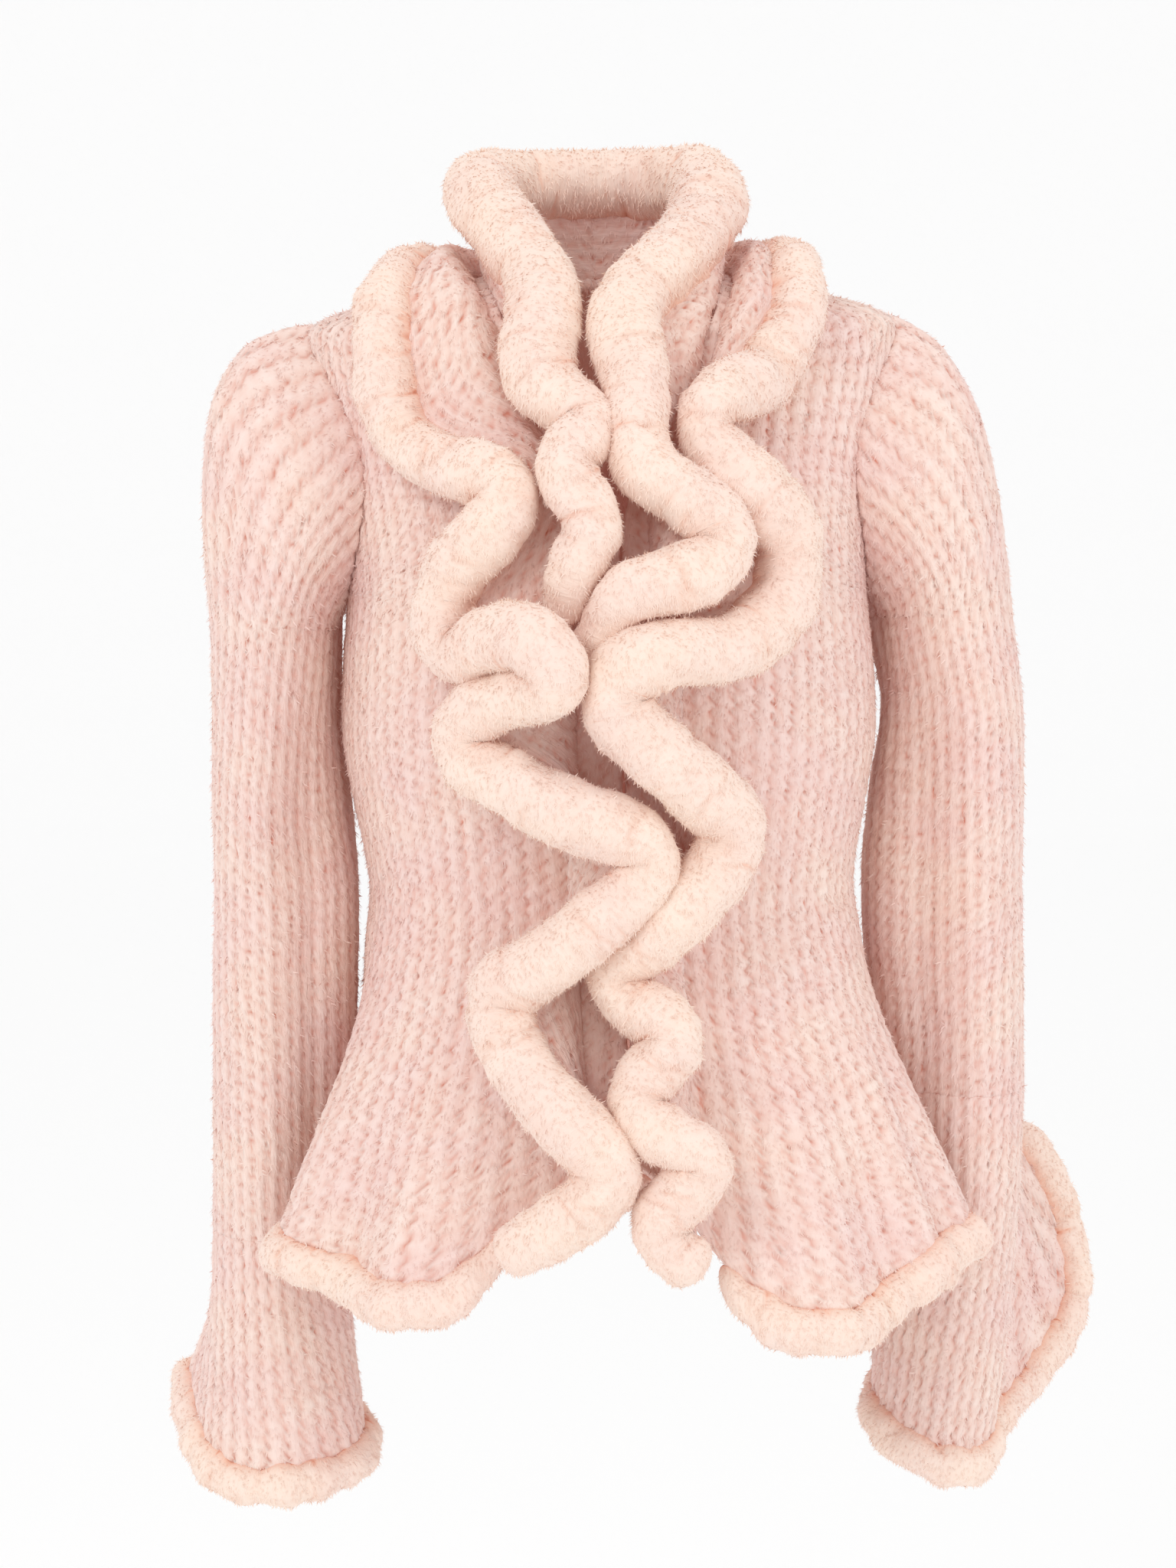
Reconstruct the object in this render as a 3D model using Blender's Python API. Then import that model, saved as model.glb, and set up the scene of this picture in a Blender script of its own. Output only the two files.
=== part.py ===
# Knitted fur jacket, worn shape: short flared body, long sleeves with bell cuffs,
# and a double ruffle collar that runs round the neck and down both front edges.
# Metres, +Z up. The front faces -Y and the wearer's left is +X.
# The origin is the middle of the neck opening, at the height where it rests on the shoulders.
import bpy
import bmesh
from math import sin, cos, pi, radians, exp, hypot
from mathutils import Vector
from mathutils.bvhtree import BVHTree

# Driving dimensions, in millimetres.
MM = 0.001
WALL = 9.0             # knitted fur cloth, from the fur tips outside to the fur tips inside
SEAM_GAP = 0.3         # between two pieces that are sewn together
BOXINESS = 0.06        # how far a body ring is squarer than an ellipse
NECK_Z = -12.0         # shoulder seam at the neck
SHOULDER_Z = -43.0     # and at the armhole
NECK_DIP = 4.0         # the back's neck edge is this much lower in the middle
BUST = 9.0             # fullness of the front over the bust
BUST_X = 82.0
BUST_Z = -236.0
BUST_SPREAD = 52.0
FLARE_TOP = -455.0     # the skirt flutes start here
FLARE_BOTTOM = -650.0
FLUTE = 13.0           # how far a flute stands out at the hem
RUFFLE_WALL = 7.0      # thickness of the ruffle strip
SEAM_SHIFT = 6.0       # each half of the ruffle strip starts this far from its middle seam
ROLL_SIDES = 8
CLOTH_SIDE = 3         # the side of a roll's ring that faces the cloth
SKIRT_BAND = 13.0      # half the height of the hem's fur band
SKIRT_BAND_DEPTH = 10.0
CUFF_BAND = 11.5       # half the height of a cuff's fur band
CUFF_BAND_DEPTH = 10.0

# Columns: z, half width, depth to the front, depth to the back
BODY = [
    (-12, 66, 42, 50),       # side of the neck
    (-23, 108, 52, 64),
    (-31, 150, 59, 73),
    (-43, 183, 67, 83),      # shoulder point
    (-55, 188, 72, 87),
    (-90, 181, 88, 100),
    (-130, 172, 104, 109),
    (-170, 167, 120, 113),
    (-215, 165, 133, 113),   # underarm
    (-250, 168, 138, 110),   # bust
    (-305, 170, 128, 103),
    (-350, 163, 117, 95),
    (-400, 155, 110, 90),    # waist
    (-440, 160, 114, 96),
    (-480, 171, 122, 108),
    (-560, 200, 142, 130),
    (-620, 221, 158, 146),
    (-690, 243, 172, 160),
]

# Beside the arms the skirt hangs straight, so that each sleeve has room behind the front's side flute.
ARM_ROOM = [(-400, 156), (-455, 159), (-510, 161), (-565, 163), (-700, 164)]     # z, furthest x
ARM_ANGLES = (70, 85, 122, 145)

# Columns: angle, height; angle round the body from the front middle, + to wearer's left
FLUTES = [
    (-180, 0.6), (-165, -0.7), (-150, 0.9), (-134, -0.4), (-112, 0.0), (-84, 0.0), (-66, 1.0),
    (-51, -0.6), (-37, 1.0), (-15, -0.7), (0, -0.2), (12, -0.5), (30, 1.0), (43, -0.5), (53, 0.5),
    (59, -0.1), (67, 1.0), (84, 0.0), (112, 0.0), (134, -0.4), (150, 0.9), (165, -0.7), (180, 0.6),
]

# Columns: angle, z; lower edge of the cloth, above its fur band
HEM = [
    (-180, -618), (-142, -626), (-120, -616), (-95, -606), (-84, -600), (-62, -614), (-46, -626),
    (-34, -630), (-27, -620), (-20, -592), (-10, -572), (-2, -556),
    (2, -560), (9, -590), (15, -626), (24, -650), (37, -648), (53, -626), (70, -616), (86, -610),
    (103, -612), (120, -618), (142, -626), (180, -618),
]

# Columns: angle, z; edge of the front panel, from the side of the neck to the hem
NECK_EDGE = [(90, -12), (52, -17), (30, -26), (17, -52), (13, -90), (7, -125), (2.2, -152)]
FRONT_OPENING = 5.0                     # each front edge stays this far from the middle
CORNER_ANGLE = 2                        # where it meets the hem

# Columns: z, angle on the front, angle on the back
ARMHOLE = [
    (-43, 90, 90), (-58, 76, 105), (-78, 67, 115), (-98, 62, 120), (-120, 60, 121),
    (-145, 61, 119), (-170, 66, 114), (-192, 73, 107), (-208, 82, 98), (-215, 90, 90),
]

# Columns: z, x, y, half width, half depth, turn in degrees, depth of the long crease
SLEEVES = {
    "right": [
        (-238, 213, 3, 39, 64, 4, 0), (-290, 214, 5, 38, 66, 8, 5), (-345, 212, 10, 40, 67, 14, 11),
        (-400, 208, 15, 43, 66, 19, 13), (-455, 210, 20, 44, 66, 18, 14), (-510, 212, 26, 44, 65, 16, 14),
        (-565, 215, 31, 43, 64, 14, 13), (-625, 218, 36, 42, 63, 12, 10),
    ],
    "left": [
        (-238, 218, 3, 42, 64, 4, 0), (-290, 222, 5, 43, 66, 8, 6), (-345, 219, 10, 46, 67, 13, 12),
        (-400, 216, 15, 48, 66, 17, 14), (-450, 217, 20, 48, 66, 16, 14), (-500, 220, 25, 46, 65, 14, 13),
        (-545, 222, 30, 45, 64, 13, 10),
    ],
}
FOLD_ANGLE = 138       # the long crease of each sleeve, degrees round it from outside over the front
FOLD_SPREAD = 26
FOLD_REACH = 60        # a fold of this many mm would close the sleeve
SEAM_TURN = 3          # rings over which the sleeve's wall turns from the armhole's edge to its own way
SEAM_ROLL = 1.8        # how far round it swings under the arm
CAP_STEPS = (0.0, 0.14, 0.32, 0.52, 0.72, 0.88)   # rings between the armhole and the first sleeve row
CAPS = {"right": (28, 56, 13), "left": (12, 48, 13)}    # how far a head puffs out, up, to front and back
CAP_EDGE = 1.5         # how soon the puff fades from the top of the sleeve to its sides
CAP_SIDE_OUT = 0.8     # share of the front and back puff that also goes out
CAP_SIDE_UP = 4
BELL = 1.6             # a cuff widens by this power of the way down
ARMHOLE_ROWS = len(ARMHOLE) - 1
SLEEVE_SIDES = 2 * ARMHOLE_ROWS

# Columns: around, x, y, z; lower edge of each bell cuff, above its fur band
CUFFS = {
    "right": [
        (0, 277, 22, -738), (35, 268, -12, -758), (70, 244, -32, -770), (105, 208, -34, -770),
        (140, 176, -12, -764), (175, 166, 22, -758), (205, 170, 62, -752), (235, 184, 96, -746),
        (265, 208, 114, -740), (290, 240, 112, -732), (312, 264, 96, -724), (336, 280, 58, -722),
    ],
    "left": [                                 # its outer rear side is turned up in a round flap
        (0, 252, 18, -756), (30, 243, -8, -770), (62, 226, -26, -777), (100, 200, -28, -771),
        (140, 177, -8, -760), (172, 170, 22, -752), (200, 172, 58, -748), (220, 184, 92, -740),
        (236, 198, 110, -704), (250, 214, 120, -656), (265, 236, 122, -608), (280, 260, 118, -586),
        (294, 283, 110, -604), (306, 300, 102, -640), (318, 308, 90, -680), (332, 302, 76, -712),
        (346, 277, 50, -738),
    ],
}
CUFF_SIDES = 2 * SLEEVE_SIDES
HEM_START = {"right": 3, "left": 2}    # the first column of each front panel that has a hem band
CUFF_STEPS = (0.0, 0.28, 0.56, 0.8, 1.0)

# Columns: x, y, z; middle seam of the ruffle strip, x away from the middle
SEAM = [
    (0, 64, -24),       # centre back of the neck
    (42, 54, -20),
    (74, 14, -15),      # over the shoulder seam
    (77, -28, -19),
    (73, -50, -29),
    (64, -67, -52),
    (53, -86, -90),
    (35, -101, -126),
    (27, -117, -160),   # from here straight down beside the front edge
    (26, -136, -245),
    (26, -110, -400),
    (26, -132, -530),
    (30, -150, -596),
]

# Columns: x, y, z, radius, seam; seam: how far along the seam the strip hangs from
OUTER_RIGHT = [
    (0, 112, -52, 15, 0), (-62, 92, -40, 13, 50), (-98, 46, -20, 11, 85), (-114, 2, -16, 11, 110),
    (-132, -42, -38, 13, 148), (-137, -78, -84, 16, 184),
    (-129, -96, -112, 15, 210),
    (-98, -124, -130, 16, 245),
    (-71, -147, -146, 17, 280),      # folds back under the collar
    (-99, -142, -189, 17, 335),
    (-107, -134, -216, 16, 358),
    (-100, -146, -238, 16, 372),     # turns to the middle
    (-66, -186, -229, 16, 384),
    (-46, -194, -254, 16, 396),      # turns out
    (-67, -176, -266, 14, 414),
    (-94, -157, -278, 15, 426),      # turns to the middle
    (-98, -153, -299, 15, 436),
    (-74, -163, -318, 16, 456),
    (-36, -174, -338, 18, 486),
    (9, -170, -367, 16, 520),        # turns out across the middle
    (-46, -168, -424, 17, 578),
    (-80, -148, -455, 17, 612),      # turns in
    (-56, -174, -510, 17, 662),
    (-21, -183, -556, 17, 706),      # turns out at the front corner
    (-50, -178, -590, 15, 738),
    (-75, -172, -604, 13, 752),
]
OUTER_LEFT = [
    (0, 112, -52, 15, 0), (62, 92, -40, 13, 50), (97, 46, -20, 11, 85), (112, 4, -16, 11, 110),
    (113, -42, -46, 14, 156),
    (86, -105, -81, 16, 208),
    (59, -133, -92, 15, 229),        # turns out
    (53, -139, -111, 14, 242),
    (71, -146, -136, 17, 262),
    (98, -140, -170, 18, 300),
    (100, -142, -198, 18, 330),      # turns to the middle
    (78, -158, -232, 18, 362),
    (44, -176, -241, 17, 384),
    (14, -187, -243, 17, 400),
    (-9, -183, -266, 17, 420),       # turns out
    (26, -178, -312, 18, 465),
    (60, -161, -352, 18, 510),       # turns in
    (26, -163, -406, 16, 560),
    (-9, -152, -444, 14, 594),       # turns out
    (22, -170, -478, 16, 632),       # turns in
    (1, -174, -512, 14, 668),        # turns out
    (16, -184, -536, 14, 688),
    (38, -182, -550, 15, 702),       # turns in
    (13, -180, -594, 14, 738),       # turns out
    (28, -180, -614, 13, 752),
]
INNER_RIGHT = [
    (0, 60, 44, 17, 0), (-48, 46, 44, 17, 45), (-75, 6, 40, 18, 98), (-62, -36, 13, 18, 143),
    (-46, -66, -14, 18, 178),
    (-42, -92, -41, 18, 210),
    (-48, -108, -64, 18, 232),
    (-38, -127, -88, 15, 252),
    (-20, -140, -104, 13, 268),      # turns out
    (-34, -157, -129, 13, 285),      # turns to the middle
    (-21, -166, -158, 13, 312),      # turns out
    (-31, -166, -190, 12, 345),
    (-36, -158, -212, 9, 365),
]
INNER_LEFT = [
    (0, 60, 44, 17, 0), (44, 46, 44, 17, 45), (68, 6, 39, 18, 98), (60, -32, 13, 18, 141),
    (38, -64, -8, 18, 174),
    (13, -90, -30, 17, 206),
    (7, -112, -58, 17, 232),
    (12, -134, -89, 15, 256),
    (10, -150, -118, 14, 278),       # turns out
    (28, -160, -142, 15, 298),
    (54, -162, -163, 15, 318),       # turns to the middle
    (55, -170, -185, 15, 334),
    (28, -178, -197, 15, 348),
    (-4, -177, -210, 13, 364),
    (-17, -166, -236, 10, 385),
]
# How far each half of the strip stands up from the seam before it falls: length along the seam, height.
STAND = {
    "outer": [(0, 26), (60, 28), (110, 30), (150, 24), (200, 14), (260, 6), (330, 2), (760, 2)],
    "inner": [(0, 6), (760, 6)],
}
LEAN = 0.6             # how much it leans to its free edge as it rises
APEX = 0.6             # the free edge's roll hangs from this share of the stand
RING_SPACING = 15.0
FINE_STEPS = 8         # steps from row to row before a curve is spaced evenly
SEAM_STEP = 3.0        # half the length over which the seam's direction is measured
RUFFLE_COLUMNS = 4
STRAIGHT_ABOVE = 0.8   # a point counts as over the cloth where its way there is this straight
LIFT = 2.7             # over the body, more where the ruffle spans from ring to ring
BEND_ROOM = 0.85       # a roll fills this share of the room on the inside of its bends
INSIDE_BEND = 0.3      # the strip comes from the inside of a bend when it points there by this share
BELOW_POINT = 30.0     # outwards is away from the body's middle, this far below the point
ROUNDING = 2           # how often the ruffle's turns are smoothed
ROUNDING_TRIES = 3     # and how often the smoothed curve is brought back to its rows
RISE = 0.3             # how far the strip stands straight up at its base, as a share of its reach
BASE_GAP = 1.5         # between the strip and the cloth under it
MIDDLE_GAP = 0.2       # right and left halves of the ruffle end this far from the centre back

FUR_PINK = (0.86, 0.64, 0.58)      # linear colours
ROLL_PINK = (0.91, 0.76, 0.70)
ROUGHNESS = 0.95
SHARP_ANGLE = radians(50)

TOP_FADE = 6           # how soon a panel's rows turn straight below its top edge
BOTTOM_FADE = 4        # and above its hem
BODY_ROWS = 14         # rows of a panel from the underarm down
FRONT_COLUMNS = 12
SHOULDER_STEPS = 5
NECK_STEPS = 8
FLAT = cos(pi / ROLL_SIDES)      # a roll's flat lies this share of its radius from its middle


def smoothstep(t):
    t = min(max(t, 0.0), 1.0)
    return t * t * (3 - 2 * t)


def read_table(rows, where, column):
    """Value of a column between the rows, on a smooth curve with the first column as its measure."""
    if rows[0][0] > rows[-1][0]:
        rows = rows[::-1]
    last = len(rows) - 1
    where = min(max(where, rows[0][0]), rows[last][0])
    k = 0
    while k < last - 1 and where > rows[k + 1][0]:
        k += 1
    slopes = []
    for i in (k, k + 1):
        lo = rows[max(i - 1, 0)]
        hi = rows[min(i + 1, last)]
        slopes.append((hi[column] - lo[column]) / (hi[0] - lo[0]))
    span = rows[k + 1][0] - rows[k][0]
    t = (where - rows[k][0]) / span
    a = rows[k][column]
    b = rows[k + 1][column]
    return (a * (1 + 2 * t) * (1 - t) ** 2 + slopes[0] * span * t * (1 - t) ** 2
            + b * t * t * (3 - 2 * t) + slopes[1] * span * t * t * (t - 1))


def curve_through(rows, steps, closed=False):
    """Points on a smooth curve through rows of numbers, with so many steps from row to row."""
    count = len(rows)
    spans = count if closed else count - 1
    points = []
    for k in range(spans):
        four = []
        for i in (k - 1, k, k + 1, k + 2):
            i = i % count if closed else min(max(i, 0), count - 1)
            four.append(rows[i])
        a, b, c, d = four
        for s in range(steps):
            t = s / steps
            point = []
            for n in range(len(b)):
                m1 = (c[n] - a[n]) / 2
                m2 = (d[n] - b[n]) / 2
                point.append(b[n] * (1 + 2 * t) * (1 - t) ** 2 + m1 * t * (1 - t) ** 2
                             + c[n] * t * t * (3 - 2 * t) + m2 * t * t * (t - 1))
            points.append(tuple(point))
    if not closed:
        points.append(tuple(rows[-1]))
    return points


def flute_height(angle):
    for (a, ha), (b, hb) in zip(FLUTES, FLUTES[1:]):
        if a <= angle <= b:
            return ha + (hb - ha) * smoothstep((angle - a) / (b - a))
    return 0.0


def body_point(angle, z):
    """A point on the outside of the body: angle from the front middle, degrees, + to wearer's left."""
    half = read_table(BODY, z, 1)
    s = sin(radians(angle))
    c = cos(radians(angle))
    depth = read_table(BODY, z, 2 if c > 0 else 3)
    square = 1 + BOXINESS * (2 * s * c) ** 2
    turn = (angle + 180) % 360 - 180
    flute = FLUTE * flute_height(turn) * smoothstep((FLARE_TOP - z) / (FLARE_TOP - FLARE_BOTTOM))
    x = half * s * square + flute * s
    y = -depth * c * square - flute * c
    room = read_table(ARM_ROOM, z, 1)
    if z < ARM_ROOM[0][0] and abs(x) > room:
        start, full, stop, end = ARM_ANGLES
        turn = abs(turn)
        press = smoothstep((turn - start) / (full - start)) * smoothstep((end - turn) / (end - stop))
        x += (room - abs(x)) * press * (1 if x > 0 else -1)
    if c > 0:
        away = hypot((abs(x) - BUST_X) / BUST_SPREAD, (z - BUST_Z) / BUST_SPREAD)
        y -= BUST * exp(-away * away) * c
    return Vector((x, y, z))


def body_normal(angle, z):
    step = 0.5
    across = body_point(angle + step, z) - body_point(angle - step, z)
    down = body_point(angle, z - 2 * step) - body_point(angle, z + 2 * step)
    return across.cross(down).normalized() * -1


def patch(top, bottom, left, right):
    """A grid of (angle, z) between four edges: straight rows, bent to the top and bottom edges."""
    rows = len(left)
    columns = len(top)
    grid = []
    for k in range(rows):
        v = k / (rows - 1)
        near_top = (1 - v) ** TOP_FADE
        near_bottom = v ** BOTTOM_FADE
        line = []
        for j in range(columns):
            u = j / (columns - 1)
            value = []
            for n in (0, 1):
                straight = left[k][n] * (1 - u) + right[k][n] * u
                rise = top[j][n] - top[0][n] * (1 - u) - top[-1][n] * u
                drop = bottom[j][n] - bottom[0][n] * (1 - u) - bottom[-1][n] * u
                value.append(straight + rise * near_top + drop * near_bottom)
            line.append(tuple(value))
        grid.append(line)
    return grid


def draw_in(grid, inner_grid, gap):
    """Moves the grid's border inwards by the gap, with the same move for the inner face."""
    rows = len(grid)
    columns = len(grid[0])
    moves = {}
    for k in range(rows):
        for j in range(columns):
            move = Vector((0, 0, 0))
            if j == 0:
                move += (grid[k][1] - grid[k][0]).normalized()
            if j == columns - 1:
                move += (grid[k][-2] - grid[k][-1]).normalized()
            if k == 0:
                move += (grid[1][j] - grid[0][j]).normalized()
            if k == rows - 1:
                move += (grid[-2][j] - grid[-1][j]).normalized()
            if move.length > 0:
                moves[(k, j)] = move * gap
    for (k, j), move in moves.items():
        grid[k][j] = grid[k][j] + move
        inner_grid[k][j] = inner_grid[k][j] + move


def make_material(name, colour):
    material = bpy.data.materials.new(name)
    material.use_nodes = True
    shader = material.node_tree.nodes["Principled BSDF"]
    shader.inputs["Base Color"].default_value = (*colour, 1)
    shader.inputs["Roughness"].default_value = ROUGHNESS
    shader.inputs["Metallic"].default_value = 0
    material.diffuse_color = (*colour, 1)
    return material


def finish_object(name, mesh_data, colour):
    mesh = bpy.data.meshes.new(name)
    bmesh.ops.recalc_face_normals(mesh_data, faces=mesh_data.faces)
    mesh_data.to_mesh(mesh)
    mesh_data.free()
    mesh.shade_smooth()
    mesh.set_sharp_from_angle(angle=SHARP_ANGLE)
    mesh.materials.append(make_material(name + "_fur", colour))
    thing = bpy.data.objects.new(name, mesh)
    bpy.context.scene.collection.objects.link(thing)
    return thing


def add_wall(name, outer, inner, colour, closed=False, side_split=1):
    """A cloth wall between two grids of points; closed joins the last column to the first."""
    data = bmesh.new()
    rows = len(outer)
    columns = len(outer[0])
    out = [[data.verts.new(p * MM) for p in line] for line in outer]
    back = [[data.verts.new(p * MM) for p in line] for line in inner]
    spans = columns if closed else columns - 1
    for k in range(rows - 1):
        for j in range(spans):
            n = (j + 1) % columns
            data.faces.new((out[k][j], out[k + 1][j], out[k + 1][n]))
            data.faces.new((out[k][j], out[k + 1][n], out[k][n]))
            data.faces.new((back[k][j], back[k][n], back[k + 1][n], back[k + 1][j]))
    edges = []
    for line, behind in ((out[0], back[0]), (out[-1], back[-1])):
        for j in range(spans):
            n = (j + 1) % columns
            edges.append((line[j], line[n], behind[j], behind[n]))
    if not closed:
        for j in (0, -1):
            for k in range(rows - 1):
                a, b = (k, k + 1) if side_split == 1 else (k + 1, k)
                edges.append((out[a][j], out[b][j], back[a][j], back[b][j]))
    for a, b, c, d in edges:
        data.faces.new((a, b, d))      # every edge face is split from outer to next inner point
        data.faces.new((a, d, c))
    return finish_object(name, data, colour)


def add_roll(name, rings, colour, closed=False):
    """A fur roll through rings of points, with flat ends unless it is closed."""
    data = bmesh.new()
    loops = [[data.verts.new(p * MM) for p in ring] for ring in rings]
    sides = len(loops[0])
    pairs = list(zip(loops, loops[1:]))
    if closed:
        pairs.append((loops[-1], loops[0]))
    for a, b in pairs:
        for i in range(sides):
            n = (i + 1) % sides
            if i == CLOTH_SIDE:        # split as the cloth's edge face is
                data.faces.new((a[i], a[n], b[n]))
                data.faces.new((a[i], b[n], b[i]))
            else:
                data.faces.new((a[i], a[n], b[n], b[i]))
    if not closed:
        data.faces.new(loops[0][::-1])
        data.faces.new(loops[-1])
    return finish_object(name, data, colour)


def roll_ring(centre, away, side, height, depth, outer, inner):
    """An eight-sided ring; its side towards the cloth is the cloth edge's two points, moved by the gap."""
    ring = []
    for i in range(ROLL_SIDES):
        a = 2 * pi * (i + 0.5) / ROLL_SIDES
        ring.append(centre + away * (height * cos(a)) + side * (depth * sin(a)))
    ring[CLOTH_SIDE] = outer + away * SEAM_GAP
    ring[CLOTH_SIDE + 1] = inner + away * SEAM_GAP
    return ring


def grid_normals(grid, closed=False):
    rows = len(grid)
    columns = len(grid[0])
    normals = []
    for k in range(rows):
        line = []
        for j in range(columns):
            if closed:
                across = grid[k][(j + 1) % columns] - grid[k][j - 1]
            else:
                across = grid[k][min(j + 1, columns - 1)] - grid[k][max(j - 1, 0)]
            down = grid[min(k + 1, rows - 1)][j] - grid[max(k - 1, 0)][j]
            line.append(down.cross(across).normalized())
        normals.append(line)
    return normals


def panel_from(angles):
    """Outer and inner points of a body panel from its grid of (angle, z)."""
    outer = [[body_point(a, z) for a, z in line] for line in angles]
    inner = [[body_point(a, z) - body_normal(a, z) * WALL for a, z in line] for line in angles]
    return outer, inner


def side_edge(side, face, rows):
    """Armhole and side seam as (angle, z), with the body's rows below the underarm."""
    column = 1 if face == "front" else 2
    edge = [(side * row[column], row[0]) for row in ARMHOLE]
    hem = read_table(HEM, side * 90, 1)
    underarm = ARMHOLE[-1][0]
    for k in range(1, rows + 1):
        edge.append((side * 90, underarm + (hem - underarm) * k / rows))
    return edge


def shoulder_seam(side, steps):
    return [(side * 90, NECK_Z + (SHOULDER_Z - NECK_Z) * k / steps) for k in range(steps + 1)]


def hem_edge_line(start, end, steps):
    line = []
    for k in range(steps + 1):
        angle = start + (end - start) * k / steps
        line.append((angle, read_table(HEM, (angle + 180) % 360 - 180, 1)))
    return line


def front_angle(x, z):
    """Angle round the body of a front point that is x from the middle."""
    angle = 0.0
    for _ in range(4):
        angle += (x - body_point(angle, z).x) / radians(read_table(BODY, z, 1))
    return angle


def make_front(name, side):
    right = side_edge(side, "front", BODY_ROWS)
    total = len(right)
    left = [(side * a, z) for a, z in NECK_EDGE]
    corner = read_table(HEM, side * CORNER_ANGLE, 1)
    remaining = total - len(left)
    for k in range(1, remaining + 1):
        z = NECK_EDGE[-1][1] + (corner - NECK_EDGE[-1][1]) * k / remaining
        left.append((side * front_angle(FRONT_OPENING, z), z))
    top = shoulder_seam(side, FRONT_COLUMNS)
    bottom = hem_edge_line(left[-1][0], right[-1][0], FRONT_COLUMNS)
    bottom[0] = left[-1]
    outer, inner = panel_from(patch(top, bottom, left, right))
    draw_in(outer, inner, SEAM_GAP / 2)
    add_wall(name, outer, inner, FUR_PINK)
    return outer, inner


def make_back(name):
    left = side_edge(1, "back", BODY_ROWS)
    right = [(360 + a, z) for a, z in side_edge(-1, "back", BODY_ROWS)]
    seam = shoulder_seam(1, SHOULDER_STEPS)
    neck = []
    for k in range(1, NECK_STEPS):
        t = k / NECK_STEPS
        neck.append((90 + 180 * t, NECK_Z - NECK_DIP * sin(pi * t)))
    top = seam[::-1] + neck + [(360 - a, z) for a, z in seam]
    columns = len(top) - 1
    bottom = hem_edge_line(90, 270, columns)
    outer, inner = panel_from(patch(top, bottom, left, right))
    draw_in(outer, inner, SEAM_GAP / 2)
    add_wall(name, outer, inner, FUR_PINK, side_split=-1)     # its side edges are split as the sleeves' are
    return outer, inner


def armhole_ring(front, back, edge):
    """The armhole as a ring of points: shoulder, down the front, underarm, up the back."""
    rows = ARMHOLE_ROWS
    ring = [(front[0][-1] + back[0][edge]) / 2]
    ring += [front[k][-1] for k in range(1, rows)]
    ring.append((front[rows][-1] + back[rows][edge]) / 2)
    ring += [back[k][edge] for k in range(rows - 1, 0, -1)]
    return ring


def ways_out(outer, inner, side):
    """For each point of the armhole the way on along the wall and the way off its outside."""
    count = len(outer)
    out = []
    off = []
    for j in range(count):
        along = outer[(j + 1) % count] - outer[j - 1]
        normal = (outer[j] - inner[j]).normalized()
        off.append(normal)
        out.append((along.cross(normal) * -side).normalized())
    out = [(out[j - 1] + out[j] * 2 + out[(j + 1) % count]).normalized() for j in range(count)]
    return out, off


def sleeve_oval(rows, z, side):
    x, y, half_width, half_depth, turn, fold = [read_table(rows, z, n) for n in range(1, 7)]
    ring = []
    for j in range(SLEEVE_SIDES):
        a = 2 * pi * j / SLEEVE_SIDES
        near_fold = (j * 360 / SLEEVE_SIDES - FOLD_ANGLE) / FOLD_SPREAD
        kept = 1 - fold * exp(-near_fold * near_fold) / FOLD_REACH
        p = half_width * cos(a) * kept
        q = -half_depth * sin(a) * kept
        t = radians(-turn)
        ring.append(Vector((side * (x + p * cos(t) + q * sin(t)), y - p * sin(t) + q * cos(t), z)))
    return ring


def make_sleeve(name, side, key, edge_outer, edge_inner):
    rows = SLEEVES[key]
    first = sleeve_oval(rows, rows[0][0], side)
    push, faces_out = ways_out(edge_outer, edge_inner, side)
    cap_out, cap_up, cap_full = CAPS[key]
    start = [p + (d + n) * SEAM_GAP for p, d, n in zip(edge_outer, push, faces_out)]
    rings = []
    for f in CAP_STEPS:
        ring = []
        for j in range(SLEEVE_SIDES):
            a = 2 * pi * j / SLEEVE_SIDES
            top = max(cos(a), 0.0) ** CAP_EDGE
            swell = sin(pi * f)
            bulge = Vector((side * (cap_out * top + cap_full * abs(sin(a)) * CAP_SIDE_OUT),
                            -cap_full * sin(a), cap_up * top + CAP_SIDE_UP * abs(sin(a)))) * swell
            ring.append(start[j].lerp(first[j], f) + bulge)
        rings.append(ring)
    for row in rows:
        rings.append(sleeve_oval(rows, row[0], side))
    normals = grid_normals(rings, closed=True)
    inner = []
    for k, (line, turned) in enumerate(zip(rings, normals)):
        t = min(k / SEAM_TURN, 1)
        ring = []
        for p, n, out, d in zip(line, turned, faces_out, push):
            n = n * side
            against = max(out.dot(n), 0.0)        # under the arm the wall turns over
            way = n * t - out * (1 - t) + d * (against * SEAM_ROLL * sin(pi * t))
            ring.append(p + way.normalized() * WALL)
        inner.append(ring)
    inner[0] = [p + d * SEAM_GAP for p, d in zip(edge_inner, push)]
    for p, q in zip(rings[-1], inner[-1]):
        q.z = p.z
    add_wall(name, rings, inner, FUR_PINK, closed=True)
    return rings, inner


def halved(ring):
    """The ring with a point put in the middle of each side."""
    points = []
    for j in range(len(ring)):
        points.append(ring[j])
        points.append((ring[j] + ring[(j + 1) % len(ring)]) / 2)
    return points


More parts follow.
